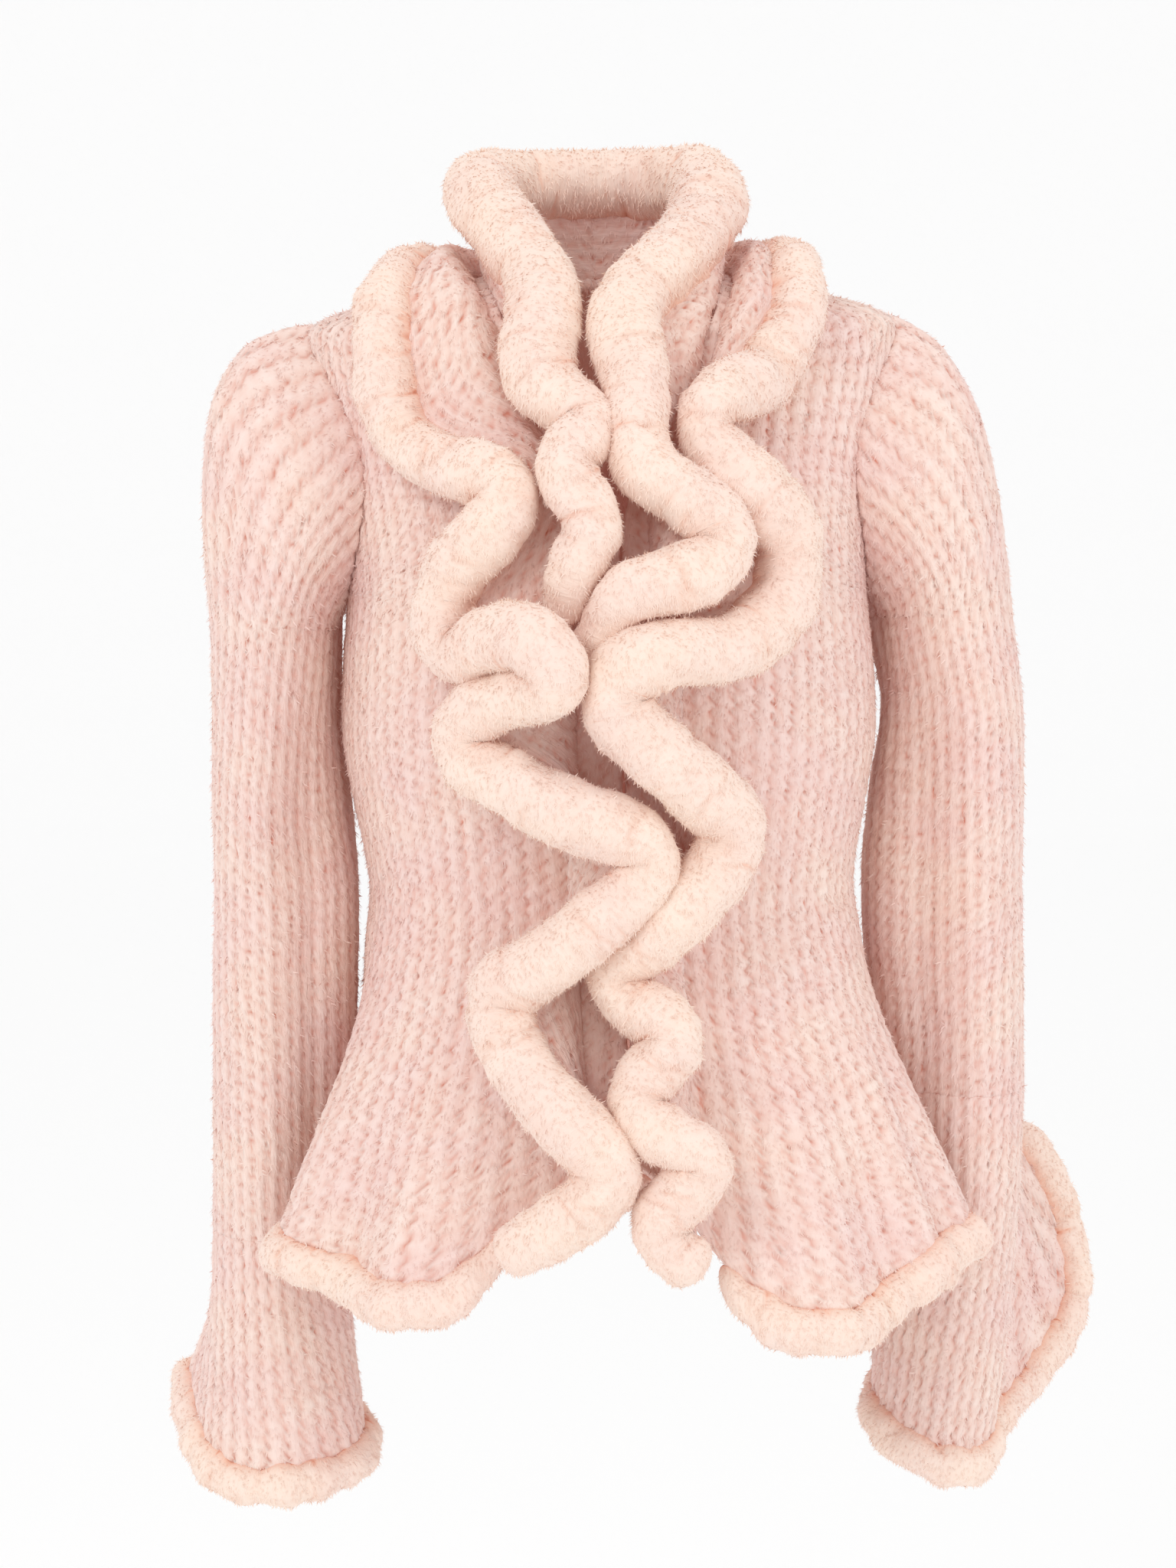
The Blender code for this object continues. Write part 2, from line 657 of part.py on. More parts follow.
def make_cuff(name, side, key, last_outer, last_inner):
    down = Vector((0, 0, -SEAM_GAP))
    wrist = [p + down for p in halved(last_outer)]
    wrist_inner = [p + down for p in halved(last_inner)]
    rows = CUFFS[key]
    full = [(a - 360, x, y, z) for a, x, y, z in rows[-3:]] + rows
    full += [(a + 360, x, y, z) for a, x, y, z in rows[:3]]
    rings = []
    for f in CUFF_STEPS:
        ring = []
        for j in range(CUFF_SIDES):
            a = 360 * j / CUFF_SIDES
            edge = Vector((side * read_table(full, a, 1), read_table(full, a, 2), read_table(full, a, 3)))
            spread = f ** BELL
            top = wrist[j]
            ring.append(Vector((top.x + (edge.x - top.x) * spread, top.y + (edge.y - top.y) * spread,
                                top.z + (edge.z - top.z) * f)))
        rings.append(ring)
    normals = grid_normals(rings, closed=True)
    inner = [[p + n * (WALL * side) for p, n in zip(line, turned)] for line, turned in zip(rings, normals)]
    inner[0] = wrist_inner
    add_wall(name, rings, inner, FUR_PINK, closed=True)
    return rings, inner


def edge_loops(edge, above, height, depth, closed=False):
    """Rings of a fur band under a cloth edge. Both lists hold (outer, inner) points along the edge."""
    middles = [(a + b) / 2 for a, b in edge]
    count = len(middles)
    loops = []
    for j in range(count):
        away = (middles[j] - (above[j][0] + above[j][1]) / 2).normalized()
        if not closed and j in (0, count - 1):
            side = (edge[j][0] - edge[j][1]).normalized()
            away = (away - side * away.dot(side)).normalized()
        else:
            along = (middles[(j + 1) % count] - middles[j - 1]).normalized()
            away = (away - along * away.dot(along)).normalized()
            side = along.cross(away)
            if side.dot(edge[j][0] - edge[j][1]) < 0:
                side = -side
        centre = middles[j] + away * (height * FLAT)
        loops.append(roll_ring(centre, away, side, height, depth, *edge[j]))
    return loops


def make_cuff_edge(name, rings, inner, colour):
    edge = list(zip(rings[-1], inner[-1]))
    above = list(zip(rings[-2], inner[-2]))
    loops = edge_loops(edge, above, CUFF_BAND, CUFF_BAND_DEPTH, closed=True)
    return add_roll(name, loops, colour, closed=True)


def make_hem_edge(name, outer, inner, first, colour):
    """The fur band under a panel's hem, from one of its columns on."""
    edge = list(zip(outer[-1], inner[-1]))[first:]
    above = list(zip(outer[-2], inner[-2]))[first:]
    return add_roll(name, edge_loops(edge, above, SKIRT_BAND, SKIRT_BAND_DEPTH), colour)


def running_lengths(points):
    lengths = [0.0]
    for a, b in zip(points, points[1:]):
        lengths.append(lengths[-1] + (b - a).length)
    return lengths


def value_at(values, lengths, where):
    """The values at a length along a curve, straight between its points."""
    where = min(max(where, 0.0), lengths[-1])
    k = 0
    while k < len(lengths) - 2 and where > lengths[k + 1]:
        k += 1
    t = (where - lengths[k]) / (lengths[k + 1] - lengths[k])
    return tuple(a + (b - a) * t for a, b in zip(values[k], values[k + 1]))


def skin_place(skin, point):
    """The nearest place on the body's outside and the direction straight out of it."""
    spot, normal, _, _ = skin.find_nearest(point * MM)
    if normal.dot(point - Vector((0, 0, point.z - BELOW_POINT))) < 0:
        normal = -normal
    return spot / MM, normal


def laid_on(skin, point, thickness):
    """The point, moved out where it is closer to the body than the thickness allows."""
    spot, normal = skin_place(skin, point)
    room = thickness + BASE_GAP
    way = point - spot
    above = way.dot(normal)
    if above < room and abs(above) > STRAIGHT_ABOVE * way.length:
        return spot + normal * room
    return point


def rounded_curve(rows, spacing):
    """Evenly spaced points on a curve through rows of numbers, with its sharp turns rounded."""
    control = [list(row) for row in rows]
    for attempt in range(ROUNDING_TRIES):
        fine = curve_through(control, FINE_STEPS)
        lengths = running_lengths([Vector(p[:3]) for p in fine])
        count = round(lengths[-1] / spacing)
        points = [value_at(fine, lengths, lengths[-1] * k / count) for k in range(count + 1)]
        for _ in range(ROUNDING):
            middle = [tuple((a + 2 * b + c) / 4 for a, b, c in zip(*three))
                      for three in zip(points, points[1:], points[2:])]
            points = [points[0]] + middle + [points[-1]]
        for k, row in enumerate(rows):
            place = lengths[k * FINE_STEPS] / lengths[-1] * count
            i = min(int(place), count - 1)
            for n, value in enumerate(row):
                now = points[i][n] + (points[i + 1][n] - points[i][n]) * (place - i)
                control[k][n] += value - now
    return points


def bend_limits(path):
    """For each point of a path the way to the inside of its bend and how far a roll may reach there."""
    last = len(path) - 1
    tangents = [(path[min(k + 1, last)] - path[max(k - 1, 0)]).normalized() for k in range(last + 1)]
    room = []
    for k in range(last):
        half_turn = tangents[k].angle(tangents[k + 1]) / 2
        room.append((path[k + 1] - path[k]).length / (2 * sin(max(half_turn, 0.01))))
    limits = []
    for k in range(last + 1):
        bend = tangents[min(k + 1, last)] - tangents[max(k - 1, 0)]
        bend = (bend - tangents[k] * bend.dot(tangents[k])).normalized()
        limits.append((bend, BEND_ROOM * min(room[max(k - 1, 0)], room[min(k, last - 1)])))
    return limits


def make_ruffle(name, rows, side, shift, skin):
    """One half of the ruffle strip, sewn to the body at its base, and the fur roll along its free edge."""
    part_of = name.split("_")[0]
    path = [Vector((side * x, y, z)) for x, y, z in curve_through(SEAM, FINE_STEPS)]
    lengths = running_lengths(path)
    samples = rounded_curve(rows, RING_SPACING)
    edge = [Vector(s[:3]) for s in samples]
    if part_of == "outer":
        edge = [laid_on(skin, p, s[3] + LIFT) for p, s in zip(edge, samples)]
    last = len(edge) - 1
    bends = bend_limits(edge)
    half = RUFFLE_WALL / 2
    grid = []
    loops = []
    ends = []
    for k, sample in enumerate(samples):
        radius = sample[3]
        along_seam = sample[4]
        near = Vector(value_at(path, lengths, along_seam))
        ahead = (Vector(value_at(path, lengths, along_seam + SEAM_STEP))
                 - Vector(value_at(path, lengths, along_seam - SEAM_STEP)))
        tangent = (edge[min(k + 1, last)] - edge[max(k - 1, 0)]).normalized()
        if k == 0:
            ahead = Vector((side, 0, 0))
            tangent = Vector((side, 0, 0))
        spot, normal = skin_place(skin, near)
        sideways = normal.cross(ahead).normalized() * side
        if part_of == "outer":
            spot, normal = skin_place(skin, near + sideways * shift)
        else:
            spot = spot + sideways * shift       # it leans over the neck's edge, where there is no cloth
        if k == 0:
            normal = Vector((0, normal.y, normal.z)).normalized()
            spot.x = side * MIDDLE_GAP
            edge[k].x = side * MIDDLE_GAP
        base = spot + normal * BASE_GAP
        stand = read_table(STAND[part_of], along_seam, 1)
        away = edge[k] - base - normal * (stand * APEX)
        away = (away - tangent * away.dot(tangent)).normalized()
        width = tangent.cross(away)
        bend, limit = bends[k]
        sink = radius * FLAT
        towards = -away.dot(bend)
        if towards > INSIDE_BEND:
            sink = min(sink, limit / towards)
        end = edge[k] - away * (sink + SEAM_GAP)
        reach = (end - base).length
        lean = (end - base).normalized()
        one = base + (normal + lean * LEAN).normalized() * (stand + reach * RISE)
        two = end - away * (reach * RISE)
        line = [base]
        for j in range(1, RUFFLE_COLUMNS):
            t = j / RUFFLE_COLUMNS
            point = (base * (1 - t) ** 3 + one * (3 * t * (1 - t) ** 2)
                     + two * (3 * t * t * (1 - t)) + end * t ** 3)
            line.append(laid_on(skin, point, half + LIFT) if part_of == "outer" else point)
        line.append(end)
        grid.append(line)
        ends.append((ahead.cross(normal).normalized(), width))
        flat = (end + width * half, end - width * half)
        ring = roll_ring(edge[k], away, width, radius, radius, *flat)
        for i in range(ROLL_SIDES):
            reached = (ring[i] - edge[k]).dot(bend)
            if reached > limit and i not in (CLOTH_SIDE, CLOTH_SIDE + 1):
                ring[i] = ring[i] - bend * (reached - limit)
        loops.append(ring)
    outer = []
    inner = []
    for line, turned, (at_base, at_end) in zip(grid, grid_normals(grid), ends):
        if line is grid[0]:
            turned[:] = [Vector((0, n.y, n.z)).normalized() for n in turned]
        turned[0] = at_base
        turned[-1] = at_end
        outer.append([p + n * half for p, n in zip(line, turned)])
        inner.append([p - n * half for p, n in zip(line, turned)])
    add_wall("ruffle_" + name, outer, inner, FUR_PINK)
    add_roll("ruffle_edge_" + name, loops, ROLL_PINK)


def body_skin(grids):
    """The panels' outsides as one surface that the ruffle's base is laid on."""
    faces = []
    points = []
    for grid in grids:
        start = len(points)
        columns = len(grid[0])
        for line in grid:
            points.extend(p * MM for p in line)
        for k in range(len(grid) - 1):
            for j in range(columns - 1):
                a = start + k * columns + j
                faces.append((a, a + columns, a + columns + 1))
                faces.append((a, a + columns + 1, a + 1))
    return BVHTree.FromPolygons(points, faces)


def main():
    for thing in list(bpy.data.objects):
        bpy.data.objects.remove(thing, do_unlink=True)
    fronts = {"right": make_front("front_right", -1), "left": make_front("front_left", 1)}
    back_outer, back_inner = make_back("back")
    for key, side in (("right", -1), ("left", 1)):
        outer, inner = fronts[key]
        edge = 0 if side == 1 else -1
        ring = armhole_ring(outer, back_outer, edge)
        ring_inner = armhole_ring(inner, back_inner, edge)
        rings, inner_rings = make_sleeve("sleeve_" + key, side, key, ring, ring_inner)
        cuff, cuff_inner = make_cuff("cuff_" + key, side, key, rings[-1], inner_rings[-1])
        make_cuff_edge("cuff_edge_" + key, cuff, cuff_inner, ROLL_PINK)
        make_hem_edge("hem_edge_" + key, outer, inner, HEM_START[key], ROLL_PINK)
    make_hem_edge("hem_edge_back", back_outer, back_inner, 0, ROLL_PINK)

    skin = body_skin((fronts["right"][0], fronts["left"][0], back_outer))
    make_ruffle("outer_right", OUTER_RIGHT, -1, SEAM_SHIFT, skin)
    make_ruffle("outer_left", OUTER_LEFT, 1, SEAM_SHIFT, skin)
    make_ruffle("inner_right", INNER_RIGHT, -1, -SEAM_SHIFT, skin)
    make_ruffle("inner_left", INNER_LEFT, 1, -SEAM_SHIFT, skin)


main()
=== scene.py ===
# Knitted fur jacket in its worn form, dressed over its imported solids.
# The tables and shapes are in millimetres and the meshes in metres.
# The front faces -Y and the wearer's left is +X.
from math import sin, cos, pi, radians
import bpy
import bmesh
import numpy as np
from mathutils import Vector, Matrix
from mathutils.bvhtree import BVHTree


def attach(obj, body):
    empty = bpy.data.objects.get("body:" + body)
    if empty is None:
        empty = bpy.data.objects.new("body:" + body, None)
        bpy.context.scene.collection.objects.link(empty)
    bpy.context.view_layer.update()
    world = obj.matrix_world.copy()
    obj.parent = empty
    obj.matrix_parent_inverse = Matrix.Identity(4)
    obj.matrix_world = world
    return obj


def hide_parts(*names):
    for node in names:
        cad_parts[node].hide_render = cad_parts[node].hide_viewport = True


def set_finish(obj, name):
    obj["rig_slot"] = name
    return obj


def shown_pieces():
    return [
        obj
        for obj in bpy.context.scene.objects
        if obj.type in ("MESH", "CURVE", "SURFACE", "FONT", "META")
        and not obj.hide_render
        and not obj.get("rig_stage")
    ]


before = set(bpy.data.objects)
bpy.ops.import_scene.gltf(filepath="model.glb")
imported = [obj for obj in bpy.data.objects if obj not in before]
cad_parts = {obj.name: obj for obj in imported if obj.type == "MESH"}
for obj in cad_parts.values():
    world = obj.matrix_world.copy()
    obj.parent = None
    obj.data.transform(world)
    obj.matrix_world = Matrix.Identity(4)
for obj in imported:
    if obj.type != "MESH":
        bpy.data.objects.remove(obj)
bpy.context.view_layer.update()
mm = 0.001


def smoothstep(t):
    t = np.clip(t, 0.0, 1.0)
    return t * t * (3 - 2 * t)


# a column of a table between its rows, on a smooth curve with the first column as its measure
def readTable(rows, where, column):
    if rows[0][0] > rows[-1][0]:
        rows = rows[::-1]
    places = np.array([row[0] for row in rows], float)
    values = np.array([row[column] for row in rows], float)
    slopes = np.empty_like(values)
    slopes[1:-1] = (values[2:] - values[:-2]) / (places[2:] - places[:-2])
    slopes[0] = (values[1] - values[0]) / (places[1] - places[0])
    slopes[-1] = (values[-1] - values[-2]) / (places[-1] - places[-2])
    where = np.clip(where, places[0], places[-1])
    k = np.clip(np.searchsorted(places, where, side="right") - 1, 0, len(rows) - 2)
    span = places[k + 1] - places[k]
    t = (where - places[k]) / span
    return (values[k] * (1 + 2 * t) * (1 - t) ** 2 + slopes[k] * span * t * (1 - t) ** 2
            + values[k + 1] * t * t * (3 - 2 * t) + slopes[k + 1] * span * t * t * (t - 1))


# values on a smooth curve through evenly numbered rows, read at fractional places
def readCurve(rows, places, closed=False):
    rows = np.asarray(rows, float)
    places = np.asarray(places, float)
    count = len(rows)
    k = np.floor(places).astype(int)
    if not closed:
        k = np.clip(k, 0, count - 2)
    t = (places - k).reshape((-1,) + (1,) * (rows.ndim - 1))
    if closed:
        a, b, c, d = (rows[(k + i) % count] for i in (-1, 0, 1, 2))
    else:
        a, b, c, d = (rows[np.clip(k + i, 0, count - 1)] for i in (-1, 0, 1, 2))
    return (b * (1 + 2 * t) * (1 - t) ** 2 + (c - a) / 2 * t * (1 - t) ** 2
            + c * t * t * (3 - 2 * t) + (d - b) / 2 * t * t * (t - 1))


# a grid read at fractional rows and columns
def readGrid(grid, rowsAt, columnsAt, closedDown=False, closedAcross=False):
    rows = readCurve(grid, rowsAt, closed=closedDown)
    return readCurve(rows.transpose(1, 0, 2), columnsAt, closed=closedAcross).transpose(1, 0, 2)


# the places that cut a run of steps, of these lengths, into even parts of about this spacing
def evenPlaces(steps, spacing):
    lengths = np.concatenate(([0.0], np.cumsum(steps)))
    count = max(int(round(lengths[-1] / spacing)), 2)
    return np.interp(np.linspace(0, lengths[-1], count + 1), lengths, np.arange(len(lengths)))


def stepLengths(grid):      # mean step from row to row
    return np.linalg.norm(np.diff(grid, axis=0), axis=-1).reshape(len(grid) - 1, -1).mean(axis=1)


def normalized(vectors):
    return vectors / np.maximum(np.linalg.norm(vectors, axis=-1, keepdims=True), 1e-9)


# the way out of a grid whose rows go down and whose columns go to the wearer's left, seen from outside
def gridNormals(grid, closedAcross=False):
    if closedAcross:
        across = np.roll(grid, -1, axis=1) - np.roll(grid, 1, axis=1)
    else:
        across = np.gradient(grid, axis=1)
    down = np.gradient(grid, axis=0)
    return normalized(np.cross(down, across))


# a repeatable number from 0 to 1 for each set of whole numbers
def chance(*numbers):
    total = np.zeros(np.broadcast(*numbers).shape, np.uint64)
    for number, prime in zip(numbers, (73856093, 19349663, 83492791, 49979687)):
        total = total ^ (np.asarray(number).astype(np.int64).astype(np.uint64) * np.uint64(prime))
    total = (total ^ (total >> np.uint64(13))) * np.uint64(1274126177)
    total = total ^ (total >> np.uint64(16))
    return (total & np.uint64(0xFFFFF)).astype(float) / 0xFFFFF


# smooth unevenness from -1 to 1 with features of this size
def wobble(points, size, seed):
    p = points / size + 1000.0
    low = np.floor(p).astype(int)
    t = p - low
    t = t * t * (3 - 2 * t)
    total = np.zeros(points.shape[:-1])
    for corner in range(8):
        step = [(corner >> n) & 1 for n in range(3)]
        weight = np.ones(points.shape[:-1])
        for n in range(3):
            weight = weight * (t[..., n] if step[n] else 1 - t[..., n])
        total += weight * chance(low[..., 0] + step[0], low[..., 1] + step[1], low[..., 2] + step[2], seed)
    return total * 2 - 1


def uneven(points, amountAndSize, seed):
    amount, size = amountAndSize
    return amount * wobble(points, size, seed)


bodySizes = {
    "wall": 9.0, "seamGap": 0.3, "boxiness": 0.06, "neckZ": -12.0, "shoulderZ": -43.0,
    "neckDip": 4.0, "bust": 9.0, "bustX": 82.0, "bustZ": -236.0, "bustSpread": 52.0,
    "flareTop": -455.0, "flareBottom": -650.0, "flute": 13.0, "frontOpening": 1.0,
    "cornerAngle": 2, "topFade": 6, "bottomFade": 4, "rows": 14, "backOverlap": 1.012,
    "frontColumns": 12, "shoulderSteps": 5, "neckSteps": 8,
    # z, half width, depth to the front, depth to the back
    "rings": [
        (-12, 66, 42, 50), (-23, 108, 52, 64), (-31, 150, 59, 73), (-43, 183, 67, 83), (-55, 188, 72, 87),
        (-90, 181, 88, 100), (-130, 172, 104, 109), (-170, 167, 120, 113), (-215, 165, 133, 113),
        (-250, 168, 138, 110), (-305, 170, 128, 103), (-350, 163, 117, 95), (-400, 155, 110, 90),
        (-440, 160, 114, 96), (-480, 171, 122, 108), (-560, 200, 142, 130), (-620, 221, 158, 146),
        (-690, 243, 172, 160),
    ],
    # z, furthest x beside the arms
    "armRoom": [(-400, 156), (-455, 159), (-510, 161), (-565, 163), (-700, 164)],
    "armAngles": (70, 85, 122, 145),
    # angle round the body from the front middle, height of the flute
    "flutes": [
        (-180, 0.6), (-165, -0.7), (-150, 0.9), (-134, -0.4), (-112, 0.0), (-84, 0.0), (-66, 1.0),
        (-51, -0.6), (-37, 1.0), (-15, -0.7), (0, -0.2), (12, -0.5), (30, 1.0), (43, -0.5), (53, 0.5),
        (59, -0.1), (67, 1.0), (84, 0.0), (112, 0.0), (134, -0.4), (150, 0.9), (165, -0.7), (180, 0.6),
    ],
    # angle, z of the cloth's lower edge
    "hem": [
        (-180, -618), (-142, -626), (-120, -616), (-95, -606), (-84, -600), (-62, -614), (-46, -626),
        (-34, -630), (-27, -620), (-20, -592), (-10, -572), (-2, -556), (2, -560), (9, -590), (15, -626),
        (24, -650), (37, -648), (53, -626), (70, -616), (86, -610), (103, -612), (120, -618), (142, -626),
        (180, -618),
    ],
    "neckEdge": [(90, -12), (52, -17), (30, -26), (17, -52), (13, -90), (7, -125), (2.2, -152)],    # angle, z
    # z, angle on the front, angle on the back
    "armhole": [
        (-43, 90, 90), (-58, 76, 105), (-78, 67, 115), (-98, 62, 120), (-120, 60, 121), (-145, 61, 119),
        (-170, 66, 114), (-192, 73, 107), (-208, 82, 98), (-215, 90, 90),
    ],
}


def fluteHeight(angle):
    angles = np.array([row[0] for row in bodySizes["flutes"]], float)
    heights = np.array([row[1] for row in bodySizes["flutes"]], float)
    k = np.clip(np.searchsorted(angles, angle, side="right") - 1, 0, len(angles) - 2)
    t = smoothstep((angle - angles[k]) / (angles[k + 1] - angles[k]))
    return heights[k] + (heights[k + 1] - heights[k]) * t


# points on the outside of the body at these angles and heights
def bodyPoint(angle, z):
    b = bodySizes
    angle = np.asarray(angle, float)
    z = np.asarray(z, float)
    half = readTable(b["rings"], z, 1)
    s = np.sin(np.radians(angle))
    c = np.cos(np.radians(angle))
    depth = np.where(c > 0, readTable(b["rings"], z, 2), readTable(b["rings"], z, 3))
    square = 1 + b["boxiness"] * (2 * s * c) ** 2
    turn = (angle + 180) % 360 - 180
    flare = smoothstep((b["flareTop"] - z) / (b["flareTop"] - b["flareBottom"]))
    flute = b["flute"] * fluteHeight(turn) * flare
    x = half * s * square + flute * s
    y = -depth * c * square - flute * c
    room = readTable(b["armRoom"], z, 1)
    start, full, stop, end = b["armAngles"]
    turn = np.abs(turn)
    press = smoothstep((turn - start) / (full - start)) * smoothstep((end - turn) / (end - stop))
    press = np.where((z < b["armRoom"][0][0]) & (np.abs(x) > room), press, 0.0)
    x = x + (room - np.abs(x)) * press * np.sign(x)
    away = ((np.abs(x) - b["bustX"]) ** 2 + (z - b["bustZ"]) ** 2) / b["bustSpread"] ** 2
    y = y - b["bust"] * np.exp(-away) * np.maximum(c, 0)
    return np.stack(np.broadcast_arrays(x, y, z), axis=-1)


def bodyNormal(angle, z):
    across = bodyPoint(angle + 0.5, z) - bodyPoint(angle - 0.5, z)
    down = bodyPoint(angle, z - 1) - bodyPoint(angle, z + 1)
    return normalized(np.cross(down, across))


def bodyFace(grid):
    return bodyPoint(grid[..., 0], grid[..., 1])


def bodyInside(grid):
    return bodyFace(grid) - bodyNormal(grid[..., 0], grid[..., 1]) * bodySizes["wall"]


# a grid of (angle, z) between four edges: straight rows, bent to the top and bottom edges
def patch(top, bottom, left, right):
    top, bottom, left, right = (np.array(edge, float) for edge in (top, bottom, left, right))
    v = np.linspace(0, 1, len(left))[:, None, None]
    u = np.linspace(0, 1, len(top))[None, :, None]
    straight = left[:, None] * (1 - u) + right[:, None] * u
    rise = top[None] - top[0] * (1 - u) - top[-1] * u
    drop = bottom[None] - bottom[0] * (1 - u) - bottom[-1] * u
    return straight + rise * (1 - v) ** bodySizes["topFade"] + drop * v ** bodySizes["bottomFade"]


def sideEdge(side, column):
    b = bodySizes
    edge = [(side * row[column], row[0]) for row in b["armhole"]]
    hem = float(readTable(b["hem"], side * 90, 1))
    underarm = b["armhole"][-1][0]
    for k in range(1, b["rows"] + 1):
        edge.append((side * 90, underarm + (hem - underarm) * k / b["rows"]))
    return edge


def shoulderSeam(side, steps):
    b = bodySizes
    return [(side * 90, b["neckZ"] + (b["shoulderZ"] - b["neckZ"]) * k / steps) for k in range(steps + 1)]


def hemLine(start, end, steps):
    angles = np.linspace(start, end, steps + 1)
    return [(a, float(readTable(bodySizes["hem"], (a + 180) % 360 - 180, 1))) for a in angles]


def frontAngle(x, z):
    angle = 0.0
    for _ in range(4):
        angle += (x - bodyPoint(angle, z)[0]) / radians(float(readTable(bodySizes["rings"], z, 1)))
    return float(angle)


def frontAngles(side):
    b = bodySizes
    right = sideEdge(side, 1)
    left = [(side * a, z) for a, z in b["neckEdge"]]
    corner = float(readTable(b["hem"], side * b["cornerAngle"], 1))
    remaining = len(right) - len(left)
    top = b["neckEdge"][-1][1]
    for k in range(1, remaining + 1):
        z = top + (corner - top) * k / remaining
        left.append((side * frontAngle(b["frontOpening"], z), z))
    bottom = hemLine(left[-1][0], right[-1][0], b["frontColumns"])
    bottom[0] = left[-1]
    return patch(shoulderSeam(side, b["frontColumns"]), bottom, left, right)


def backAngles():
    b = bodySizes
    left = sideEdge(1, 2)
    right = [(360 + a, z) for a, z in sideEdge(-1, 2)]
    seam = shoulderSeam(1, b["shoulderSteps"])
    neck = []
    for k in range(1, b["neckSteps"]):
        t = k / b["neckSteps"]
        neck.append((90 + 180 * t, b["neckZ"] - b["neckDip"] * sin(pi * t)))
    top = seam[::-1] + neck + [(360 - a, z) for a, z in seam]
    return patch(top, hemLine(90, 270, len(top) - 1), left, right)


sleeveSizes = {
    # z, x, y, half width, half depth, turn in degrees, depth of the long crease
    "rows": {
        "right": [
            (-238, 213, 3, 39, 64, 4, 0), (-290, 214, 5, 38, 66, 8, 5), (-345, 212, 10, 40, 67, 14, 11),
            (-400, 208, 15, 43, 66, 19, 13), (-455, 210, 20, 44, 66, 18, 14), (-510, 212, 26, 44, 65, 16, 14),
            (-565, 215, 31, 43, 64, 14, 13), (-625, 218, 36, 42, 63, 12, 10),
        ],
        "left": [
            (-238, 218, 3, 42, 64, 4, 0), (-290, 222, 5, 43, 66, 8, 6), (-345, 219, 10, 46, 67, 13, 12),
            (-400, 216, 15, 48, 66, 17, 14), (-450, 217, 20, 48, 66, 16, 14), (-500, 220, 25, 46, 65, 14, 13),
            (-545, 222, 30, 45, 64, 13, 10),
        ],
    },
    "foldAngle": 138, "foldSpread": 26, "foldReach": 60,
    "capSteps": (0.0, 0.14, 0.32, 0.52, 0.72, 0.88),
    # how far a head puffs out, up, to front and back
    "caps": {"right": (28, 56, 13), "left": (12, 48, 13)},
    "capEdge": 1.5, "capSideOut": 0.8, "capSideUp": 4,
}
armholeRows = len(bodySizes["armhole"]) - 1
sleeveSides = 2 * armholeRows

cuffSizes = {
    # degrees round the cuff, x, y, z of the lower edge
    "edges": {
        "right": [
            (0, 277, 22, -738), (35, 268, -12, -758), (70, 244, -32, -770), (105, 208, -34, -770),
            (140, 176, -12, -764), (175, 166, 22, -758), (205, 170, 62, -752), (235, 184, 96, -746),
            (265, 208, 114, -740), (290, 240, 112, -732), (312, 264, 96, -724), (336, 280, 58, -722),
        ],
        "left": [
            (0, 252, 18, -756), (30, 243, -8, -770), (62, 226, -26, -777), (100, 200, -28, -771),
            (140, 177, -8, -760), (172, 170, 22, -752), (200, 172, 58, -748), (220, 184, 92, -740),
            (236, 198, 110, -704), (250, 214, 120, -656), (265, 236, 122, -608), (280, 260, 118, -586),
            (294, 283, 110, -604), (306, 300, 102, -640), (318, 308, 90, -680), (332, 302, 76, -712),
            (346, 277, 50, -738),
        ],
    },
    "steps": (0.0, 0.28, 0.56, 0.8, 1.0), "bell": 1.6,
}


# the armhole as a ring of points: shoulder, down the front, underarm, up the back
def armholeRing(front, back, edge):
    rows = armholeRows
    ring = [(front[0][-1] + back[0][edge]) / 2]
    ring += [front[k][-1] for k in range(1, rows)]
    ring.append((front[rows][-1] + back[rows][edge]) / 2)
    ring += [back[k][edge] for k in range(rows - 1, 0, -1)]
    return np.array(ring)


def sleeveOval(rows, z, side):
    s = sleeveSizes
    x, y, halfWidth, halfDepth, turn, fold = [float(readTable(rows, z, n)) for n in range(1, 7)]
    a = 2 * pi * np.arange(sleeveSides) / sleeveSides
    nearFold = (np.degrees(a) - s["foldAngle"]) / s["foldSpread"]
    kept = 1 - fold * np.exp(-nearFold ** 2) / s["foldReach"]
    p = halfWidth * np.cos(a) * kept
    q = -halfDepth * np.sin(a) * kept
    t = radians(-turn)
    x, y = x + p * cos(t) + q * sin(t), y - p * sin(t) + q * cos(t)
    return np.stack((side * x, y, np.full(len(a), z)), axis=-1)


def sleeveRings(side, key, start):
    s = sleeveSizes
    rows = s["rows"][key]
    first = sleeveOval(rows, rows[0][0], side)
    capOut, capUp, capFull = s["caps"][key]
    a = 2 * pi * np.arange(sleeveSides) / sleeveSides
    top = np.maximum(np.cos(a), 0) ** s["capEdge"]
    flank = np.abs(np.sin(a))
    bulge = np.stack((side * (capOut * top + capFull * flank * s["capSideOut"]), -capFull * np.sin(a),
                      capUp * top + s["capSideUp"] * flank), axis=-1)
    rings = [start + (first - start) * f + bulge * sin(pi * f) for f in s["capSteps"]]
    rings += [sleeveOval(rows, row[0], side) for row in rows]
    return np.array(rings)


